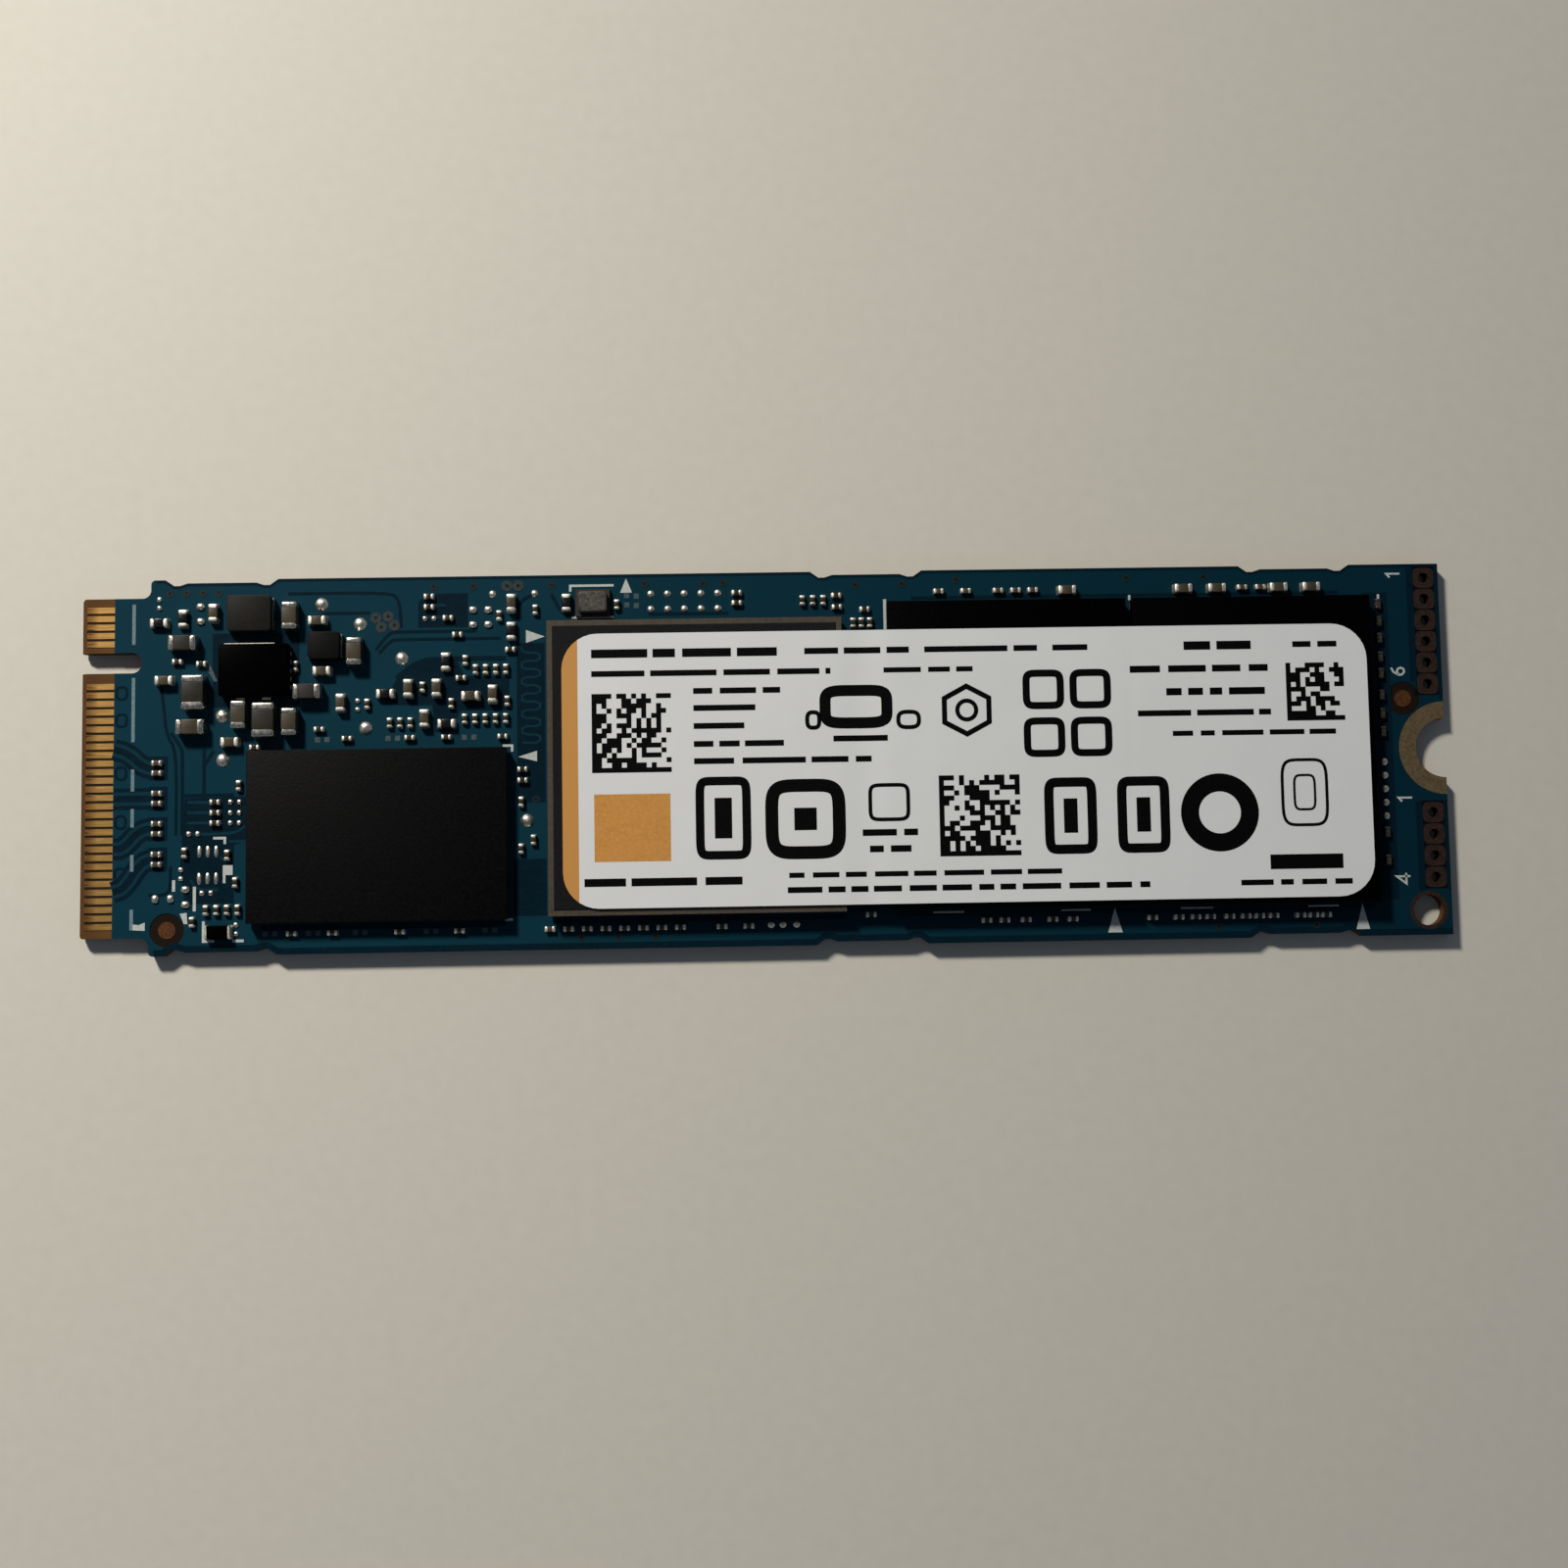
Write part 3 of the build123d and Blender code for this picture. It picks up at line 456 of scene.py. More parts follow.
def blocks(low, high, grow, ease, steps, cut):
    # upright blocks: an eight-cornered rectangle is carried up each one; a step gives its share of the
    # height, its share of each side's growth and its inset in mm, which a side takes as far as its ease
    # says (sides are west, east, south, north)
    size = high - low
    narrow = size[:, :2].min(1)
    cut = np.minimum(cut, blockLimits["cutShare"] * narrow)
    loops = []
    for rise, spread, inset in steps:
        out = grow * spread - ease * np.minimum(inset, blockLimits["insetShare"] * narrow)[:, None]
        west, south = low[:, 0] - out[:, 0], low[:, 1] - out[:, 2]
        east, north = high[:, 0] + out[:, 1], high[:, 1] + out[:, 3]
        xs = np.stack([west + cut, east - cut, east, east, east - cut, west + cut, west, west], 1)
        ys = np.stack([south, south, south + cut, north - cut, north, north, north - cut, south + cut], 1)
        zs = np.repeat((low[:, 2] + size[:, 2] * rise)[:, None], xs.shape[1], 1)
        loops.append(np.stack([xs, ys, zs], -1))
    return carry(np.stack(loops, 1))


circle = 2.0  # squareness of a circle


def roundOutline(squareness, sides):
    # x = sgn(cos t) |cos t| ** (2 / n) and y likewise with the sine: a circle at n = 2, and above that
    # a rounded square
    t = (np.arange(sides) + 0.5) * 2 * np.pi / sides
    both = np.stack([np.cos(t), np.sin(t)], 1)
    return np.sign(both) * np.abs(both) ** (2 / squareness)


def mounds(low, high, profile, sides, squareness=circle):
    # one rounded outline for every box, carried up a profile: share of the half width, share of the height
    middle, half = (low + high) / 2, (high - low) / 2
    reach, rise = np.array(profile, float).T
    shape = reach[:, None, None] * roundOutline(squareness, sides)
    flat = middle[:, None, None, :2] + half[:, None, None, :2] * shape
    level = low[:, None, 2] + 2 * half[:, None, 2] * rise
    level = np.broadcast_to(level[:, :, None, None], flat.shape[:3] + (1,))
    return carry(np.concatenate([flat, level], -1))


def washers(low, high, hole, sides, squareness=circle):
    # one rounded plate for every box, with a round hole: outer and inner outline at two heights, joined up
    middle, half = (low + high) / 2, (high - low) / 2
    outer = middle[:, None, :2] + half[:, None, :2] * roundOutline(squareness, sides)
    inner = middle[:, None, :2] + hole * roundOutline(circle, sides)
    flat = np.stack([outer, inner, inner, outer], 2)
    level = np.stack([low[:, 2], low[:, 2], high[:, 2], high[:, 2]], 1)
    level = np.broadcast_to(level[:, None, :, None], flat.shape[:3] + (1,))
    return carry(np.concatenate([flat, level], -1), True)


def sideways(path, distance, closed=False):
    # a path moved to its left by a distance, measured square to its runs: each point goes along its mitre
    path = np.asarray(path, float)
    ends = np.vstack([path, path[:1]]) if closed else path
    step = np.diff(ends, axis=0)
    step /= np.linalg.norm(step, axis=1)[:, None]
    normal = np.stack([-step[:, 1], step[:, 0]], 1)
    before = np.roll(normal, 1, 0) if closed else np.vstack([normal[:1], normal])
    after = normal if closed else np.vstack([normal, normal[-1:]])
    mitre = before + after
    return path + distance * mitre / (mitre * after).sum(1)[:, None]


def ribbon(path, width, low, high, closed=False):
    # a flat band carried along a path; low and high are heights, one for all or one for each point
    left, right = sideways(path, width / 2, closed), sideways(path, -width / 2, closed)
    low, high = np.broadcast_to(low, len(left)), np.broadcast_to(high, len(left))
    corners = ((right, low), (left, low), (left, high), (right, high))
    return carry(np.stack([np.column_stack(pair) for pair in corners], 1)[None], closed)


def eased(path, rounds=2):
    # a path with its corners cut: every round keeps the middle half of each run, and the two ends stay
    path = np.asarray(path, float)
    for _ in range(rounds):
        cut = np.stack([0.75 * path[:-1] + 0.25 * path[1:], 0.25 * path[:-1] + 0.75 * path[1:]], 1)
        path = np.vstack([path[:1], cut.reshape(-1, 2), path[-1:]])
    return path


def slab(outline, low, high):
    # a flat plate: one outline, anticlockwise, at two heights
    outline = np.asarray(outline, float)
    rings = [np.column_stack([outline, np.full(len(outline), z)]) for z in (low, high)]
    return carry(np.stack(rings)[None])


def plate(west, east, south, north, low, high):
    # a slab with four square corners
    return slab([(west, south), (east, south), (east, north), (west, north)], low, high)


def boxesAt(places, reach, heights):
    # lowest and highest corners of upright boxes, a reach either way from each place
    places = np.asarray(places, float)
    return [np.column_stack([places + side * reach, np.full(len(places), z)])
            for side, z in zip((-1, 1), heights)]


allSides = np.ones((1, 4))
noGrow = np.zeros((1, 4))
rimShape = {"foot": 0.4, "shoulder": 0.3}  # shares of the rim's size


def easedBox(node, finish, slot, edge, cut):
    # a box with a rounded rim: two small steps stand for the arc at the top, one for the arc at the foot
    low, high = islandsOf(node)
    share = edge / (high - low)[0, 2]
    foot, shoulder = rimShape["foot"], rimShape["shoulder"]
    steps = [(0, 0, foot * edge), (foot * share, 0, 0), (1 - share, 0, 0),
             (1 - shoulder * share, 0, shoulder * edge), (1, 0, edge)]
    makePiece(node + "_eased", blocks(low, high, noGrow, allSides, steps, cut), finish, [node])
    return (low + high) / 2


# moulded bodies: size of the rounded rim and of the cut corners, in mm
bodies = {
    "memory_mould": ("moulded_epoxy_charcoal", "package_mould", 0.03, 0.03),
    "flash_left_mould": ("moulded_epoxy_black", "package_mould", 0.03, 0.03),
    "flash_right_mould": ("moulded_epoxy_black", "package_mould", 0.03, 0.03),
    "power_chip_mould": ("moulded_epoxy_small", "chip_mould", 0.03, 0.03),
    "large_inductor_core": ("pressed_iron_powder", "inductor_core", 0.04, 0.12),
    "small_inductor_core": ("pressed_iron_shaded", "inductor_core", 0.04, 0.12),
}
for node, dress in bodies.items():
    easedBox(node, *dress)


# chip parts: eased bodies, and plated ends that round over and stand in a little solder
chipShape = {"bodyEdge": 0.12, "edgeFromMm": 0.4, "bodyCutMm": 0.03, "endCutMm": 0.05, "footShare": 0.12,
             "footMaxMm": 0.06, "sideFoot": 0.03, "footSteps": (0, 0.12, 0.3, 0.55), "footTop": 0.6,
             "crownSteps": ((1, 0), (0.45, 0.2), (0.12, 0.6), (0, 1))}


def chipEnds(node, centres, finish, crown):
    # the solder foot runs out from the outer face and thins upwards with the square of the height left;
    # the top rounds over by a share of the height on every side but the one against the body
    low, high = islandsOf(node)
    middle = (low + high) / 2
    offset = middle[:, None, :2] - centres[None, :, :2]
    offset = offset[np.arange(len(middle)), (offset ** 2).sum(2).argmin(1)]
    height = (high - low)[0, 2]
    alongX = np.abs(offset[:, 0]) > np.abs(offset[:, 1])
    outer = np.stack([alongX & (offset[:, 0] < 0), alongX & (offset[:, 0] > 0),
                      ~alongX & (offset[:, 1] < 0), ~alongX & (offset[:, 1] > 0)], 1)
    inner = outer[:, [1, 0, 3, 2]]
    foot = min(chipShape["footShare"] * height, chipShape["footMaxMm"])
    grow = np.where(inner, 0, np.where(outer, foot, chipShape["sideFoot"] * height))
    steps = [(rise, (1 - rise / chipShape["footTop"]) ** 2, 0) for rise in chipShape["footSteps"]]
    edge = crown * height
    steps += [(1 - left * crown, 0, inset * edge) for left, inset in chipShape["crownSteps"]]
    surface = blocks(low, high, grow, 1.0 - inner, steps, chipShape["endCutMm"])
    makePiece(node + "_soldered", surface, finish, [node], creases["plated"])


# body finish and slot, end finish, and how far the ends round over
chipKinds = {
    "resistors_0201": ("glass_glaze_olive", "resistor_glaze", "tin_plate_matt", 0.25),
    "resistors_0402": ("glass_glaze_black", "resistor_glaze", "tin_plate_matt", 0.25),
    "capacitors_0201": ("fired_ceramic_brown", "capacitor_ceramic", "tin_plate_matt", 0.18),
    "coupling_capacitors": ("fired_ceramic_brown", "capacitor_ceramic", "tin_plate_matt", 0.3),
    "capacitors_0402": ("fired_ceramic_brown", "capacitor_ceramic", "tin_plate_matt", 0.18),
    "capacitors_0603": ("fired_ceramic_brown", "capacitor_ceramic", "tin_plate_smooth", 0.14),
    "capacitors_0805": ("fired_ceramic_grey", "large_capacitor_ceramic", "tin_plate_smooth", 0.12),
    "beads_0603": ("sintered_ferrite", "bead_ferrite", "tin_plate_smooth", 0.16),
    "diode": ("moulded_epoxy_small", "chip_mould", "tin_plate_matt", 0.2),
}
for kind, (finish, slot, endFinish, crown) in chipKinds.items():
    bodyHeight = (islandsOf(kind + "_bodies")[1] - boardTop)[0, 2]
    edge = chipShape["bodyEdge"] * min(bodyHeight, chipShape["edgeFromMm"])
    middles = easedBox(kind + "_bodies", finish, slot, edge, chipShape["bodyCutMm"])
    chipEnds(kind + "_ends", middles, endFinish, crown)
print("bodies eased:", len(bodies), "and chip parts dressed:", len(chipKinds), "kinds")


# solder: domes on the test points, heaps on the lands without a part, and the ball grids under the packages
solderShape = {
    "solder_domes": {"sides": 20,
                     "profile": ((1.0, 0), (0.94, 0.16), (0.82, 0.46), (0.56, 0.82), (0.24, 1.0))},
    "bare_land_solder": {"sides": 16, "squareness": 3.0,
                         "profile": ((1.0, 0), (0.97, 0.3), (0.84, 0.65), (0.58, 0.92), (0.22, 1.04))},
}
for node, shape in solderShape.items():
    makePiece(node + "_round", mounds(*islandsOf(node), **shape), "reflowed_solder", [node],
              creases["solder"])

headerLands = {"hole": 0.3, "squareness": 4.0, "sides": 32}
for row in ("header_pads_six", "header_pads_four"):
    lands = washers(*islandsOf(row), **headerLands)
    makePiece(row + "_rounded", lands, "bare_copper_fluxed", [row])

ballGrid = {"pitchMm": 1.0, "marginMm": 1.0, "radiusMm": 0.24, "sides": 8,
            "profile": ((0.55, 0), (0.92, 0.22), (1.0, 0.5), (0.92, 0.78), (0.55, 1.0))}
tiny = 1e-6  # so that a whole number of pitches counts as whole
for package in ("memory", "controller", "flash_left", "flash_right"):
    low, high = (np.array(v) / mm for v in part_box(package + "_substrate"))
    room = ((high - low)[:2] - 2 * ballGrid["marginMm"]) / ballGrid["pitchMm"]
    counts = np.floor(room + tiny).astype(int) + 1
    rows = [(low + high)[i] / 2 + (np.arange(counts[i]) - (counts[i] - 1) / 2) * ballGrid["pitchMm"]
            for i in (0, 1)]
    spots = np.stack(np.meshgrid(*rows), -1).reshape(-1, 2)
    boxes = boxesAt(spots, ballGrid["radiusMm"], (boardTop, low[2]))
    makePiece(package + "_ball_grid", mounds(*boxes, ballGrid["profile"], ballGrid["sides"]),
              "reflowed_solder", [package + "_solder_balls"], creases["solder"])
print("solder in place")


# label: film draped over the three packages, and its print as plain bars, outlines and blocks
filmLow, filmHigh = (np.array(v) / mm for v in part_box("drive_label"))
labelShape = {"cornerMm": 2.1, "cornerSteps": 9, "columns": 150, "rows": 20, "sagMm": 0.05,
              "gaps": ((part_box("controller_mould")[1].x / mm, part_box("flash_left_mould")[0].x / mm),
                       (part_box("flash_left_mould")[1].x / mm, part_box("flash_right_mould")[0].x / mm))}
inkShape = {"aboveMm": 0.006, "biteMm": 0.01, "outlineSides": 48, "outlineCuts": 4, "wordShare": (0.3, 1.0),
            "spaceMm": (0.3, 0.5), "shortestMm": 0.25, "codeFill": 0.52, "seed": 80}


def sagAt(x):
    # over each gap between packages the film dips by (1 - t squared) squared, t from -1 to 1 across the gap
    dip = np.zeros_like(x, dtype=float)
    for start, end in labelShape["gaps"]:
        t = np.clip((x - (start + end) / 2) / ((end - start) / 2), -1, 1)
        dip -= labelShape["sagMm"] * min(1, (end - start) / 2) * (1 - t * t) ** 2
    return dip


def filmColumns():
    # where the film is cut along X: along a quarter circle in the corners, evenly between them
    r = labelShape["cornerMm"]
    bend = r * (1 - np.cos(np.linspace(0, np.pi / 2, labelShape["cornerSteps"])))
    middle = np.linspace(filmLow[0] + r, filmHigh[0] - r, labelShape["columns"])[1:-1]
    return np.concatenate([filmLow[0] + bend, middle, filmHigh[0] - bend[::-1]])


filmX = filmColumns()
filmSag = sagAt(filmX)


def filmLoops():
    # the film's outline across, bottom then top, carried along X; the corners follow a quarter circle
    r = labelShape["cornerMm"]
    inset = np.maximum(0, np.maximum(filmLow[0] + r - filmX, filmX - filmHigh[0] + r))
    half = (filmHigh[1] - filmLow[1]) / 2 - r + np.sqrt(np.maximum(r * r - inset * inset, 0))
    v = np.linspace(-1, 1, labelShape["rows"])
    y = (filmLow[1] + filmHigh[1]) / 2 + half[:, None] * v[None]
    sag = np.repeat(filmSag[:, None], len(v), 1)
    across = np.repeat(filmX[:, None], len(v), 1)
    bottom = np.stack([across, y, filmLow[2] + sag], -1)
    top = np.stack([across, y, filmHigh[2] + sag], -1)[:, ::-1]
    return np.concatenate([bottom, top], 1)[None]


makePiece("label_film_draped", carry(filmLoops()), "polyester_label_film", ["drive_label"],
          creases["film"])


def inkRun(path, width, closed=False):
    # a printed band that follows the film's sag
    top = filmHigh[2] + np.interp(path[:, 0], filmX, filmSag)
    return ribbon(path, width, top - inkShape["biteMm"], top + inkShape["aboveMm"], closed)


def inkBar(west, east, south, north):
    # a bar is cut where the film is cut
    x = np.concatenate([[west], filmX[(filmX > west) & (filmX < east)], [east]])
    return inkRun(np.column_stack([x, np.full(len(x), (south + north) / 2)]), north - south)


def inkOutline(x, y, halfX, halfY, squareness, width, sides=inkShape["outlineSides"]):
    # every side of the outline is cut in a few, so that it bends with the film
    path = np.array([x, y]) + roundOutline(squareness, sides) * (halfX, halfY)
    share = np.arange(inkShape["outlineCuts"])[:, None] / inkShape["outlineCuts"]
    path = path[:, None] * (1 - share) + np.roll(path, -1, 0)[:, None] * share
    return inkRun(path.reshape(-1, 2), width, True)


rng = np.random.default_rng(inkShape["seed"])


def inkWords(west, east, y, height, longest):
    # a row of word-long bars with a space between, the last one cut at the end of the row
    bars, x = [], west
    while x < east - inkShape["shortestMm"]:
        end = min(east, x + rng.uniform(*inkShape["wordShare"]) * longest)
        bars.append(inkBar(x, end, y - height / 2, y + height / 2))
        x = end + rng.uniform(*inkShape["spaceMm"])
    return bars


def inkCode(west, north, side, cells):
    # a square of seeded random cells inside a solid left and lower edge
    cell = side / cells
    filled = rng.random((cells, cells)) < inkShape["codeFill"]
    filled[:, 0] = True
    filled[-1] = True
    bars = []
    for row, line in enumerate(filled):
        top = north - row * cell
        edges = np.flatnonzero(np.diff(np.concatenate([[0], line.astype(int), [0]])))
        for start, end in edges.reshape(-1, 2):
            bars.append(inkBar(west + start * cell, west + end * cell, north - (row + 1) * cell, top))
    return bars


tallFrames = (17.5, 21.75)  # middles of two like frames
labelPrint = {
    # west, east, middle and height of each row of bars, and its longest bar
    "rows": [(-10.2, 0.6, 6.1, 0.5, 4.0), (2.2, 8.3, 6.1, 0.36, 2.4), (9.2, 15.8, 6.1, 0.34, 6.6),
             (16.7, 19.4, 6.1, 0.34, 2.7), (24.4, 28.4, 6.1, 0.5, 4.0), (30.8, 33.4, 6.1, 0.34, 2.6),
             (-10.2, 3.7, 4.92, 0.34, 4.4), (6.8, 12.0, 4.92, 0.3, 2.6), (21.2, 29.3, 4.75, 0.4, 2.4),
             (-4.3, 1.4, 3.85, 0.34, 2.6), (-4.3, -0.2, 2.85, 0.34, 4.1), (-4.3, -0.9, 1.8, 0.34, 3.4),
             (-4.3, 1.1, 0.75, 0.34, 2.6), (-4.3, 6.0, -0.25, 0.34, 4.4), (3.8, 7.3, 0.95, 0.34, 3.5),
             (23.3, 29.2, 3.4, 0.42, 2.2), (21.6, 29.4, 2.15, 0.34, 4.0), (23.6, 33.6, 0.95, 0.3, 2.6),
             (5.4, 8.6, -4.55, 0.38, 3.2), (5.8, 8.2, -5.5, 0.38, 2.4),
             (-10.7, -1.6, -7.2, 0.46, 4.2), (1.1, 16.9, -6.95, 0.3, 2.4), (1.0, 22.0, -7.8, 0.34, 2.6),
             (27.3, 33.8, -7.8, 0.32, 2.2)],
    # west, north, side and cells of each square of cells
    "codes": [(-10.2, 3.75, 4.6, 16), (9.87, -1.3, 4.7, 16), (30.35, 5.0, 3.4, 12)],
    # west, east, south, north of the solid blocks and of the warm field
    "bars": [(29.05, 33.3, -7.05, -6.2), (-3.15, -2.15, -4.75, -2.4), (1.45, 2.75, -4.35, -3.05),
             *[(x - 0.4, x + 0.4, -4.75, -2.75) for x in tallFrames]],
    "field": (-10.1, -5.7, -6.0, -2.1),
    # middle, half sizes, squareness and stroke of each outline, with its sides where they are few
    "outlines": [(5.15, 2.8, 1.8, 0.95, 5.0, 0.65), (2.65, 2.05, 0.35, 0.45, 3.0, 0.24),
                 (8.2, 2.0, 0.6, 0.45, 3.0, 0.24),
                 (11.6, 2.5, 1.5, 1.4, 2.0, 0.3, 6), (11.6, 2.5, 0.55, 0.55, 2.0, 0.25),
                 *[(x, y, 1.0, 0.95, 6.0, 0.42) for x in (16.1, 18.85) for y in (3.65, 0.85)],
                 (-2.65, -3.57, 1.35, 2.15, 9.0, 0.5), (2.1, -3.7, 1.95, 1.95, 5.0, 0.75),
                 (6.97, -2.8, 1.1, 1.0, 6.0, 0.22),
                 *[(x, -3.75, 1.25, 1.95, 9.0, 0.55) for x in tallFrames],
                 (26.2, -3.7, 1.75, 1.75, 2.0, 1.05),
                 (31.2, -2.6, 1.3, 1.9, 5.0, 0.18), (31.2, -2.6, 0.6, 1.0, 5.0, 0.14)],
}
ink = []
for row in labelPrint["rows"]:
    ink += inkWords(*row)
for code in labelPrint["codes"]:
    ink += inkCode(*code)
ink += [inkBar(*bar) for bar in labelPrint["bars"]]
ink += [inkOutline(*mark) for mark in labelPrint["outlines"]]
makePiece("label_print_black", merge(ink), "transfer_ink_black", crease=creases["flat"])
makePiece("label_print_field", inkBar(*labelPrint["field"]), "transfer_ink_orange",
          crease=creases["flat"])
print("label printed:", len(ink), "marks")


# board art: each layer stands a few microns above the one below it
art = {"biteMm": 0.004, "stepMm": 0.0001, "areaMm": 0.005, "clearMm": 0.006, "traceMm": 0.012, "inkMm": 0.018,
       "viaMm": 0.02}
artFoot = boardTop - art["biteMm"]
area, clear, trace, inked, ringed = ((artFoot, boardTop + art[top])
                                     for top in ("areaMm", "clearMm", "traceMm", "inkMm", "viaMm"))


def drawArt(name, surface, finish):
    # a flat drawing on the board, sharp at its edges
    makePiece(name, surface, finish, crease=creases["flat"])


def layered(parts):
    # shapes of one layer cross each other, so each stands a tenth of a micron above the one before it
    lift = [np.where(points[:, 2:] > boardTop, (0, 0, art["stepMm"] * i), 0)
            for i, (points, _) in enumerate(parts)]
    return merge([(points + up, faces) for up, (points, faces) in zip(lift, parts)])


# signal pairs from the contacts to the coupling capacitors: a dark gap in the copper with two runs in it,
# and a dark block under each pair of capacitors
pairArt = {"gapMm": 1.25, "traceMm": 0.2, "halfPitchMm": 0.295, "blockX": (-36.05, -34.95),
           "blockMarginMm": 0.4,
           "paths": [[(-38.08, 1.05), (-37.3, 0.85), (-36.3, -0.07), (-35.4, -0.07)],
                     [(-38.08, -1.85), (-37.0, -1.84), (-35.4, -1.84)],
                     [(-38.08, -4.75), (-37.5, -4.75), (-36.5, -3.61), (-35.4, -3.61)],
                     [(-38.08, -7.25), (-37.4, -7.05), (-36.4, -5.45), (-35.4, -5.38)]]}
gaps, runs = [], []
for path in map(eased, pairArt["paths"]):
    gaps.append(ribbon(path, pairArt["gapMm"], *clear))
    runs += [ribbon(sideways(path, side * pairArt["halfPitchMm"]), pairArt["traceMm"], *trace)
             for side in (-1, 1)]
low, high = islandsOf("coupling_capacitors_ends")
middles = np.unique(((low + high) / 2)[:, 1].round(2))
margin = pairArt["blockMarginMm"]
gaps += [plate(*pairArt["blockX"], first - margin, second + margin, *area)
         for first, second in middles.reshape(-1, 2)]

# no copper close round the power chip, and painted shade round it: margins in mm
chipClearAndShade = {"west": 0.55, "east": 0.5, "south": 0.6, "north": 0.75}
low, high = (np.array(v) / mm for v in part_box("power_chip_mould"))
gaps.append(plate(low[0] - chipClearAndShade["west"], high[0] + chipClearAndShade["east"],
                  low[1] - chipClearAndShade["south"], high[1] + chipClearAndShade["north"], *area))

# where the inner copper keeps clear: rings, areas and lines with a width, and the runs of copper in them
boardArt = {
    "rings": {"x": -37.66, "y": (4.35, 2.75, -0.35, -3.2, -6.25), "halfMm": (0.3, 0.36), "widthMm": 0.15,
              "squareness": 3.0, "sides": 24},
    "areas": [
        [(-33.95, -1.85), (-34.2, -5.9), (-33.9, -8.0), (-31.1, -8.0), (-31.1, -4.6), (-30.35, -4.4),
         (-30.35, -1.8)],
        [(-20.4, 8.0), (-17.5, 8.0), (-17.5, 10.0), (-19.9, 10.0), (-20.4, 9.5)],
        # beside the last flash package: copper-free mask and the package's painted shadow
        [(35.4, -8.9), (36.9, -8.9), (36.9, 9.3), (35.4, 9.3)],
        [(38.1, 3.95), (38.5, 3.95), (38.5, 10.9), (38.1, 10.9)],
        [(39.76, 2.95), (39.98, 2.95), (39.98, 10.9), (39.76, 10.9)],
        [(38.1, -8.4), (38.5, -8.4), (38.5, -3.1), (38.1, -3.1)],
        [(39.76, -8.4), (39.98, -8.4), (39.98, -3.1), (39.76, -3.1)],
        [(-14.9, -9.0), (-13.0, -9.0), (-13.0, -5.7), (-14.9, -5.7)],
        [(-14.65, -2.4), (-13.02, -2.4), (-13.02, 7.0), (-14.65, 7.0)],
        [(-22.5, 3.45), (-19.6, 3.4), (-19.4, 1.8), (-18.4, 1.8), (-18.0, 3.05), (-15.1, 3.05), (-15.1, 5.0),
         (-17.7, 5.1), (-18.2, 6.1), (-19.1, 6.1), (-20.5, 5.85), (-21.6, 5.1)]],
    "lines": [
        ([(-35.4, 4.9), (-35.2, 3.4), (-35.05, 1.9), (-34.45, 0.9), (-34.45, -4.0)], 0.18),
        ([(-34.8, 2.0), (-34.15, 1.1), (-34.1, 0.6), (-34.1, -4.0)], 0.2),
        ([(-32.85, 1.0), (-32.85, -1.7)], 0.2), ([(-34.0, -1.7), (-31.1, -1.7)], 0.2),
        ([(-32.8, 0.1), (-32.3, 0.9)], 0.2),
        ([(-28.0, 10.1), (-22.1, 10.1), (-21.5, 9.7), (-21.4, 8.0)], 0.18),
        ([(-26.0, 8.9), (-23.2, 8.9)], 0.18),
        ([(-22.9, 6.7), (-22.1, 7.7), (-21.6, 7.75), (-17.0, 7.75)], 0.18),
        ([(-22.7, 6.5), (-22.0, 7.25), (-21.6, 7.3), (-15.6, 7.3)], 0.18),
        ([(-21.7, 5.0), (-20.6, 5.9), (-19.5, 6.15), (-15.3, 6.1)], 0.28),
        ([(-36.0, -7.45), (-34.9, -7.45), (-34.75, -6.9), (-34.75, -5.8)], 0.18),
        ([(-9.0, 8.5), (-9.0, 8.9)], 0.18), ([(-14.6, 8.3), (-14.6, 9.4), (-13.4, 10.0)], 0.2),
        ([(-12.6, 9.9), (-12.1, 8.9), (-11.6, 8.5)], 0.2), ([(-6.9, 8.6), (-2.2, 8.6)], 0.18),
        ([(8.6, 9.35), (34.0, 9.35)], 0.2), ([(-29.5, -9.45), (-15.4, -9.45)], 0.3),
        ([(-12.6, -9.35), (4.4, -9.35)], 0.3), ([(7.4, -9.25), (35.4, -9.25)], 0.3)],
    "runs": [
        *[([(-33.8, y), (-32.6, y)], 0.16) for y in (-2.1, -2.7, -3.3)],
        ([(-33.5, -3.95), (-31.0, -3.95), (-30.45, -3.5)], 0.16), ([(-31.4, -4.4), (-30.4, -4.4)], 0.16),
        ([(-33.6, -6.6), (-33.2, -7.2), (-32.0, -7.2)], 0.16), ([(-31.9, -5.3), (-31.3, -5.7)], 0.16),
        ([(-20.2, 8.6), (-18.6, 8.6)], 0.14), ([(-20.2, 9.3), (-18.8, 9.3)], 0.14)],
}
rings = boardArt["rings"]
loop = roundOutline(rings["squareness"], rings["sides"]) * rings["halfMm"]
gaps += [ribbon(loop + (rings["x"], y), rings["widthMm"], *clear, True) for y in rings["y"]]
gaps += [slab(outline, *area) for outline in boardArt["areas"]]
gaps += [ribbon(eased(path), width, *clear) for path, width in boardArt["lines"]]
runs += [ribbon(eased(path), width, *trace) for path, width in boardArt["runs"]]

# length-matched run between the memory and the controller: one line that goes back and forth
snake = {"westX": -14.35, "eastX": -13.3, "southY": 1.1, "northY": 6.9, "turns": 13, "widthMm": 0.13}
levels = np.linspace(snake["southY"], snake["northY"], snake["turns"])
ends = np.where(np.arange(2 * snake["turns"]) % 4 < 2, snake["westX"], snake["eastX"])
path = np.column_stack([np.roll(ends, -1), np.repeat(levels, 2)])
runs.append(ribbon(eased(path, 1), snake["widthMm"], *trace))

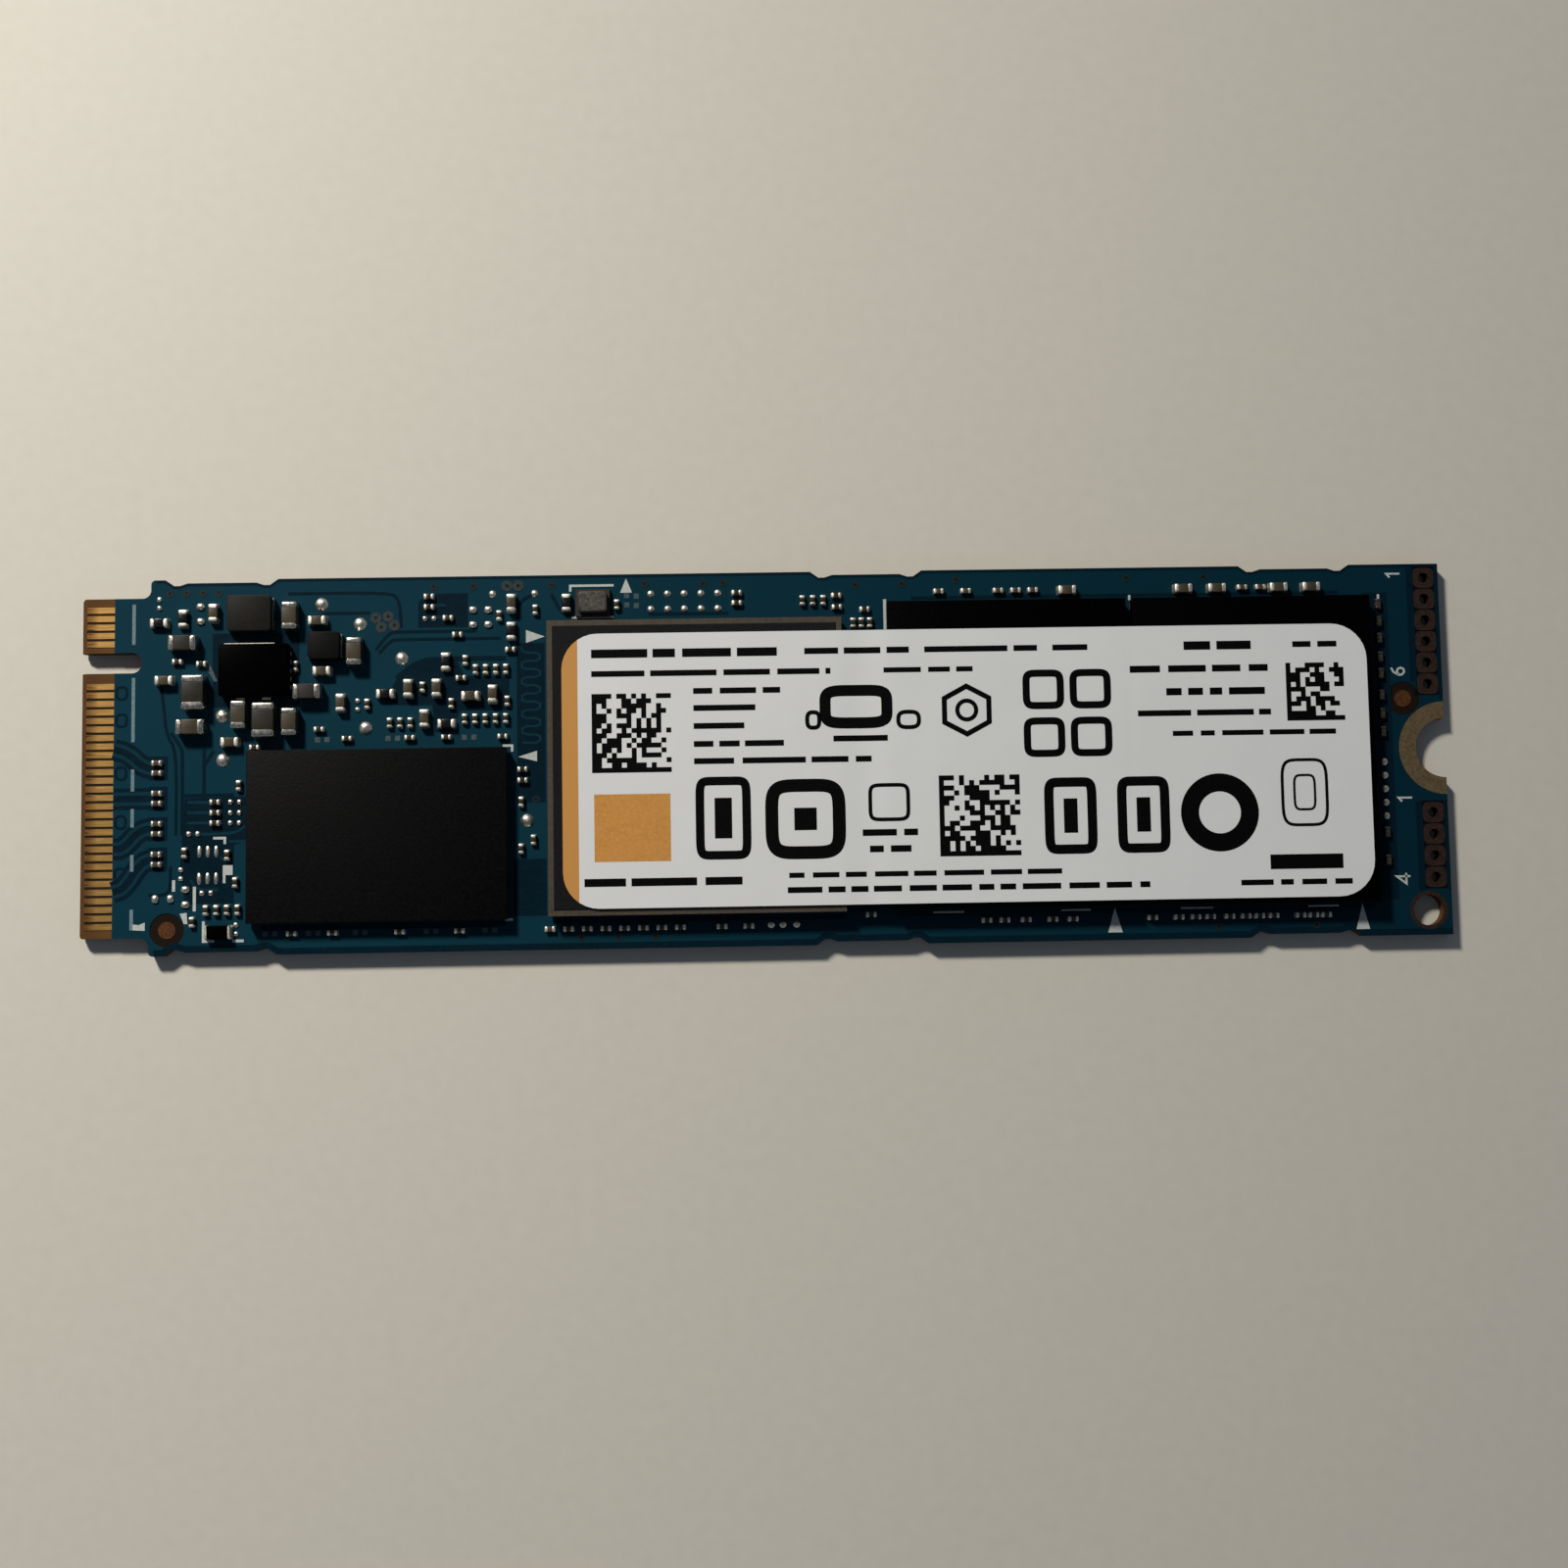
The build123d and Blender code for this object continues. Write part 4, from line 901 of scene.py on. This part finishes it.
# the copper stops short of the cut edges: a dark line along both long edges, in and out of the recesses
edgeArt = {"recessAt": (-31.88, 5.95, 31.38), "half": ((3.3, 0), (2.8, 0.35), (2.45, 0.35), (2.0, 0.2)),
           "startX": -35.7, "endX": 39.95, "halfWidth": 11.0, "insetMm": 0.02,
           "bands": ((-1, 0.36), (1, 0.15))}  # side and width of each line
profile = [(edgeArt["startX"], 0)]
for centre in edgeArt["recessAt"]:
    profile += [(centre - dx, depth) for dx, depth in edgeArt["half"]]
    profile += [(centre + dx, depth) for dx, depth in reversed(edgeArt["half"])]
edgeX, edgeDepth = np.array(profile + [(edgeArt["endX"], 0)]).T
for side, width in edgeArt["bands"]:
    inset = edgeDepth + width / 2 + edgeArt["insetMm"]
    gaps.append(ribbon(np.column_stack([edgeX, side * (edgeArt["halfWidth"] - inset)]), width, *clear))
# the clearances, with painted shade round the power chip and beside the last package
drawArt("mask_clearances_and_shade", layered(gaps), "mask_over_glass_and_shade")
drawArt("masked_copper", layered(runs), "mask_over_trace")

# white ink: thin rule beside the contacts, corner lines round parts, triangles at the first pins
inkArt = {
    "ruleX": -36.98, "ruleMm": 0.2,
    "rule": ((9.58, 7.2), (5.25, 1.48), (-0.12, -1.4), (-2.43, -3.5), (-5.1, -6.06), (-8.26, -9.46)),
    "lines": [
        ([(-32.3, -4.2), (-31.62, -4.2), (-31.62, -4.55)], 0.15), ([(-31.65, -6.35), (-31.65, -6.82)], 0.15),
        ([(-34.56, -6.6), (-34.56, -7.26)], 0.18), ([(-33.36, -7.0), (-33.36, -8.42)], 0.18),
        ([(-32.83, -9.0), (-32.83, -10.17), (-32.2, -10.17)], 0.16),
        ([(-31.16, -10.17), (-30.5, -10.17)], 0.16),
        ([(-15.5, 0.95), (-14.95, 0.95), (-14.95, 0.6)], 0.14), ([(-15.4, -9.2), (-14.95, -9.2)], 0.14),
        ([(-11.48, 10.0), (-11.48, 10.35), (-8.93, 10.35)], 0.14), ([(-11.4, 8.47), (-8.95, 8.47)], 0.14),
        ([(7.04, 9.3), (7.04, 7.5)], 0.18), ([(21.55, 9.35), (21.55, 9.05)], 0.14),
        ([(36.38, 8.8), (36.38, 9.2)], 0.14),
        *[([(west, -9.2), (east, -9.2)], 0.1)
          for west, east in ((9.5, 11.3), (17.0, 18.7), (24.0, 25.9), (31.5, 33.3))]],
    "shapes": [
        [(-36.9, -9.46), (-36.2, -9.5), (-36.2, -9.02), (-36.55, -9.16), (-36.9, -9.12)],
        [(-31.73, -6.35), (-31.16, -6.35), (-31.16, -5.78), (-31.73, -5.78)],
        [(-34.2, -8.55), (-33.95, -9.15), (-33.75, -9.15), (-33.8, -8.5)],
        [(-14.1, 7.0), (-13.0, 7.36), (-14.1, 7.76)], [(-14.6, 0.28), (-13.5, 0.0), (-13.5, 0.62)],
        [(19.7, -10.55), (20.55, -10.55), (20.13, -9.1)], [(34.3, -10.6), (35.1, -10.6), (34.7, -9.1)],
        [(-8.55, 9.9), (-7.85, 9.9), (-8.2, 10.75)]],
}
half = inkArt["ruleMm"] / 2
rule = [plate(inkArt["ruleX"] - half, inkArt["ruleX"] + half, south, north, *inked)
        for north, south in inkArt["rule"]]
drawArt("board_thin_print", merge(rule), "screen_ink_thin")
boardInk = [ribbon(path, width, *inked) for path, width in inkArt["lines"]]
boardInk += [slab(outline, *inked) for outline in inkArt["shapes"]]
# pin numbers at the two header rows, as strokes on a unit-high cell; their tops point to the contacts
strokes = {"1": [(0.12, 0.76), (0.4, 1.0), (0.4, 0.0)],
           "4": [(0.56, 0.0), (0.56, 1.0), (0.02, 0.3), (0.8, 0.3)],
           "6": [(0.62, 0.96), (0.3, 0.8), (0.08, 0.42), (0.1, 0.16), (0.3, 0.0), (0.52, 0.05), (0.62, 0.26),
                 (0.52, 0.48), (0.3, 0.54), (0.12, 0.4)]}
pinNumbers = {"height": 0.8, "stroke": 0.115,
              "places": (("1", 37.72, 10.1), ("6", 37.75, 4.3), ("1", 37.9, -3.25), ("4", 37.6, -8.0))}
for digit, x, y in pinNumbers["places"]:
    u, v = np.array(strokes[digit]).T * pinNumbers["height"]
    boardInk.append(ribbon(np.column_stack([x - v, y + u]), pinNumbers["stroke"], *inked))
drawArt("board_screen_print", layered(boardInk), "screen_ink_white")

# vias under the mask: a faint ring and a sunk middle; the mask is worn thin on a few
viaArt = {"ringMm": 0.22, "wornMm": 0.33, "holeMm": 0.1, "sides": 14,
          "rows": {10.2: (-34.9, -33.92, -32.98, -32.04),
                   10.4: (-19.47, -17.17, -12.56, -7.1, -3.67, -2.47, 11.28, 21.4, 26.0),
                   -10.3: (-11.0, -8.85, -6.7, 26.2, 31.96)},
          "single": [(5.34, 10.18), (8.07, 10.2), (-13.57, -2.22)],
          "worn": [(-22.88, 8.6), (-22.15, 8.67), (-22.56, 8.04), (-21.8, 8.15), (-15.2, 10.4),
                   (-14.54, 10.4)],
          "upright": ((1.0, 0), (1.0, 1.0))}
faint = np.array([(x, y) for y, places in viaArt["rows"].items() for x in places] + viaArt["single"])
worn = np.array(viaArt["worn"])
for name, places, reach, finish in (("via_rings", faint, viaArt["ringMm"], "mask_over_via"),
                                    ("via_rings_worn", worn, viaArt["wornMm"], "mask_worn_thin")):
    rounds = washers(*boxesAt(places, reach, ringed), viaArt["holeMm"], viaArt["sides"])
    makePiece(name, rounds, finish, crease=creases["film"])
vias = np.vstack([faint, worn])
sinks = mounds(*boxesAt(vias, viaArt["holeMm"], clear), viaArt["upright"], viaArt["sides"])
makePiece("via_sinks", sinks, "via_sink", crease=creases["film"])

# the tooling hole's land, gone dull
toolArt = {"at": (38.63, -9.55), "landMm": 1.13, "holeMm": 0.9, "sides": 40}
land = washers(*boxesAt([toolArt["at"]], toolArt["landMm"], trace), toolArt["holeMm"], toolArt["sides"])
makePiece("tooling_land", land, "bare_copper_fluxed")

# lands without part or solder: pairs along X or along Y, and one odd shape
landArt = {"halfMm": 0.15, "halfPitchMm": 0.28,
           "alongX": [(-26.0, 1.46), (-21.9, 1.48), (-17.46, 1.48),
                      *[(x, -9.8) for x in (-29.0, -26.5, -23.8, -19.7, -16.3)]],
           "alongY": [(-8.17, 9.45), (-7.6, 9.4)],
           "odd": [(-32.85, 5.95), (-32.3, 4.95), (-32.1, 5.0), (-32.55, 5.95)]}
lands = [(x + side * landArt["halfPitchMm"], y) for x, y in landArt["alongX"] for side in (-1, 1)]
lands += [(x, y + side * landArt["halfPitchMm"]) for x, y in landArt["alongY"] for side in (-1, 1)]
half = landArt["halfMm"]
dull = [plate(x - half, x + half, y - half, y + half, *trace) for x, y in lands]
dull.append(slab(landArt["odd"], *trace))
drawArt("empty_lands", merge(dull), "land_dull")

# solder that wetted out round the power chip: path, width and rise in mm
filletArt = [([(-31.6, 7.1), (-30.2, 7.1), (-28.7, 7.1)], 0.08, 0.5),
             ([(-31.0, 3.92), (-30.5, 3.92)], 0.12, 0.05), ([(-29.5, 3.92), (-29.0, 3.92)], 0.12, 0.05)]
fillets = [ribbon(eased(path), width, artFoot, boardTop + rise) for path, width, rise in filletArt]
makePiece("power_chip_fillets", merge(fillets), "tin_plate_matt", crease=creases["plated"])
print("board art drawn:", len(gaps), "clearances,", len(runs), "runs,", len(vias), "vias")


# finishes for the CAD nodes that stay
kept = {
    "circuit_board": "masked_laminate", "edge_contacts_top": "hard_gold_on_nickel",
    "edge_contacts_bottom": "hard_gold_on_nickel", "ground_ring": "flash_gold_worn",
    "fiducial_discs": "bare_copper_tarnished", "controller_mould": "moulded_epoxy_grey",
    "memory_substrate": "carrier_laminate_tan", "controller_substrate": "carrier_laminate_tan",
    "flash_left_substrate": "carrier_laminate_tan", "flash_right_substrate": "carrier_laminate_tan",
    "power_chip_pads": "tin_plate_matt", "large_inductor_terminals": "tin_plate_smooth",
    "small_inductor_terminals": "tin_plate_smooth", "oscillator_base": "fired_alumina_dark",
    "oscillator_lid": "nickel_lid",
}
for node, finish in kept.items():
    frame["nodes"][node].data.materials.clear()
    frame["nodes"][node].data.materials.append(shop[finish])
plain = [n for n, o in frame["nodes"].items() if n not in kept and not o.hide_render]
print("CAD nodes finished:", len(kept), "left plain:", plain)


# floor, light and camera
studio = {"floor": ("#b6b2a6", "#bebaae"), "floorHalf": 1.6, "floorDrop": 0.00001, "floorGrainMm": 0.8,
          "floorRough": 0.6, "floorShine": 0.2,
          "lampAt": (-0.135, 0.205, 0.19), "lampAim": (-0.28, -0.5, 0.0), "lampSize": 0.05, "lampWatts": 1.87,
          "lampColour": "#fffaf3",
          "sky": ("#868fa0", "#4b525d"), "skyRise": (0.1, 0.8),
          "backdrop": "#b9b5aa", "backdropFrom": (0.06, 0.15), "backdropRise": (0.05, 0.3)}


def seenRays(tree):
    # 1 for rays from the camera, from gloss and through glass, 0 for those that carry light
    camera, gloss, glass = (addNode(tree, "ShaderNodeLightPath", {}, out=f"Is {kind} Ray")
                            for kind in ("Camera", "Glossy", "Transmission"))
    seen = addNode(tree, "ShaderNodeMath", {0: camera, 1: gloss}, most)
    return addNode(tree, "ShaderNodeMath", {0: seen, 1: glass}, most)


floorFinish, tree, shader, place = blank("painted_table")
grain = addNode(tree, "ShaderNodeTexNoise", {"Vector": place, "Scale": 1 / (studio["floorGrainMm"] * mm),
                                             "Detail": 6.0})
dark, pale = map(hexToLinear, studio["floor"])
tone = addNode(tree, "ShaderNodeMix", {0: grain, 6: dark, 7: pale}, rgba, 2)
plug(tree, shader, {"Base Color": tone, "Roughness": studio["floorRough"],
                    "Specular IOR Level": studio["floorShine"]})
# well away from the part the floor runs out into a pale backdrop, for rays that are seen and not for light
reach = addNode(tree, "ShaderNodeVectorMath", {0: place}, {"operation": "LENGTH"}, "Value")
far = addNode(tree, "ShaderNodeMapRange", {"Value": reach, "From Min": studio["backdropFrom"][0],
                                           "From Max": studio["backdropFrom"][1]},
              {"interpolation_type": "SMOOTHSTEP"})
fade = addNode(tree, "ShaderNodeMath", {0: far, 1: seenRays(tree)}, times)
glow = addNode(tree, "ShaderNodeEmission", {"Color": hexToLinear(studio["backdrop"])})
plug(tree, tree.nodes["Material Output"], {
    "Surface": addNode(tree, "ShaderNodeMixShader", {0: fade, 1: shader.outputs[0], 2: glow})})
half = studio["floorHalf"]
mesh = bpy.data.meshes.new("floor")
mesh.from_pydata([(-half, -half, 0), (half, -half, 0), (half, half, 0), (-half, half, 0)], [], [(0, 1, 2, 3)])
mesh.materials.append(floorFinish)
floor = bpy.data.objects.new("floor", mesh)
floor.location.z = -studio["floorDrop"]
bpy.context.scene.collection.objects.link(floor)

lamp = bpy.data.objects.new("window_lamp", bpy.data.lights.new("window_lamp", "AREA"))
lamp.data.shape = "DISK"
lamp.data.size = studio["lampSize"]
lamp.data.energy = studio["lampWatts"]
lamp.data.color = hexToLinear(studio["lampColour"])[:3]
lamp.location = studio["lampAt"]
lamp.rotation_mode = "QUATERNION"
lamp.rotation_quaternion = (Vector(studio["lampAim"]) - lamp.location).to_track_quat("-Z", "Y")
bpy.context.scene.collection.objects.link(lamp)

world = bpy.data.worlds.new("studio")
bpy.context.scene.world = world
world.use_nodes = True
tree = world.node_tree
direction = addNode(tree, "ShaderNodeTexCoord", {}, out="Generated")
up = addNode(tree, "ShaderNodeSeparateXYZ", {0: direction}, out=2)
rise = addNode(tree, "ShaderNodeMapRange", {"Value": up, "From Min": studio["skyRise"][0],
                                            "From Max": studio["skyRise"][1]})
horizon, zenith = map(hexToLinear, studio["sky"])
sky = addNode(tree, "ShaderNodeMix", {0: rise, 6: horizon, 7: zenith}, rgba, 2)
rise = addNode(tree, "ShaderNodeMapRange", {"Value": up, "From Min": studio["backdropRise"][1],
                                            "From Max": studio["backdropRise"][0]})
fade = addNode(tree, "ShaderNodeMath", {0: rise, 1: seenRays(tree)}, times)
sky = addNode(tree, "ShaderNodeMix", {0: fade, 6: sky, 7: hexToLinear(studio["backdrop"])}, rgba, 2)
plug(tree, tree.nodes["Background"], {"Color": sky})

shot = {"at": (-0.001572, -0.010843, 0.115177), "forward": (0.02166, 0.08094, -0.99648),
        "upward": (0.01551, 0.99657, 0.08128), "lens": 45.0, "sensor": 36.0, "clip": (0.001, 10.0)}
forward, upward = np.array(shot["forward"]), np.array(shot["upward"])
axes = Matrix(np.column_stack([np.cross(forward, upward), upward, -forward]).tolist())
camera = bpy.data.objects.new("camera", bpy.data.cameras.new("camera"))
camera.data.lens, camera.data.sensor_width = shot["lens"], shot["sensor"]
camera.data.clip_start, camera.data.clip_end = shot["clip"]
camera.location = shot["at"]
camera.rotation_mode = "QUATERNION"
camera.rotation_quaternion = axes.to_quaternion()
bpy.context.scene.collection.objects.link(camera)
bpy.context.scene.camera = camera
bpy.context.scene.view_settings.view_transform = "Standard"
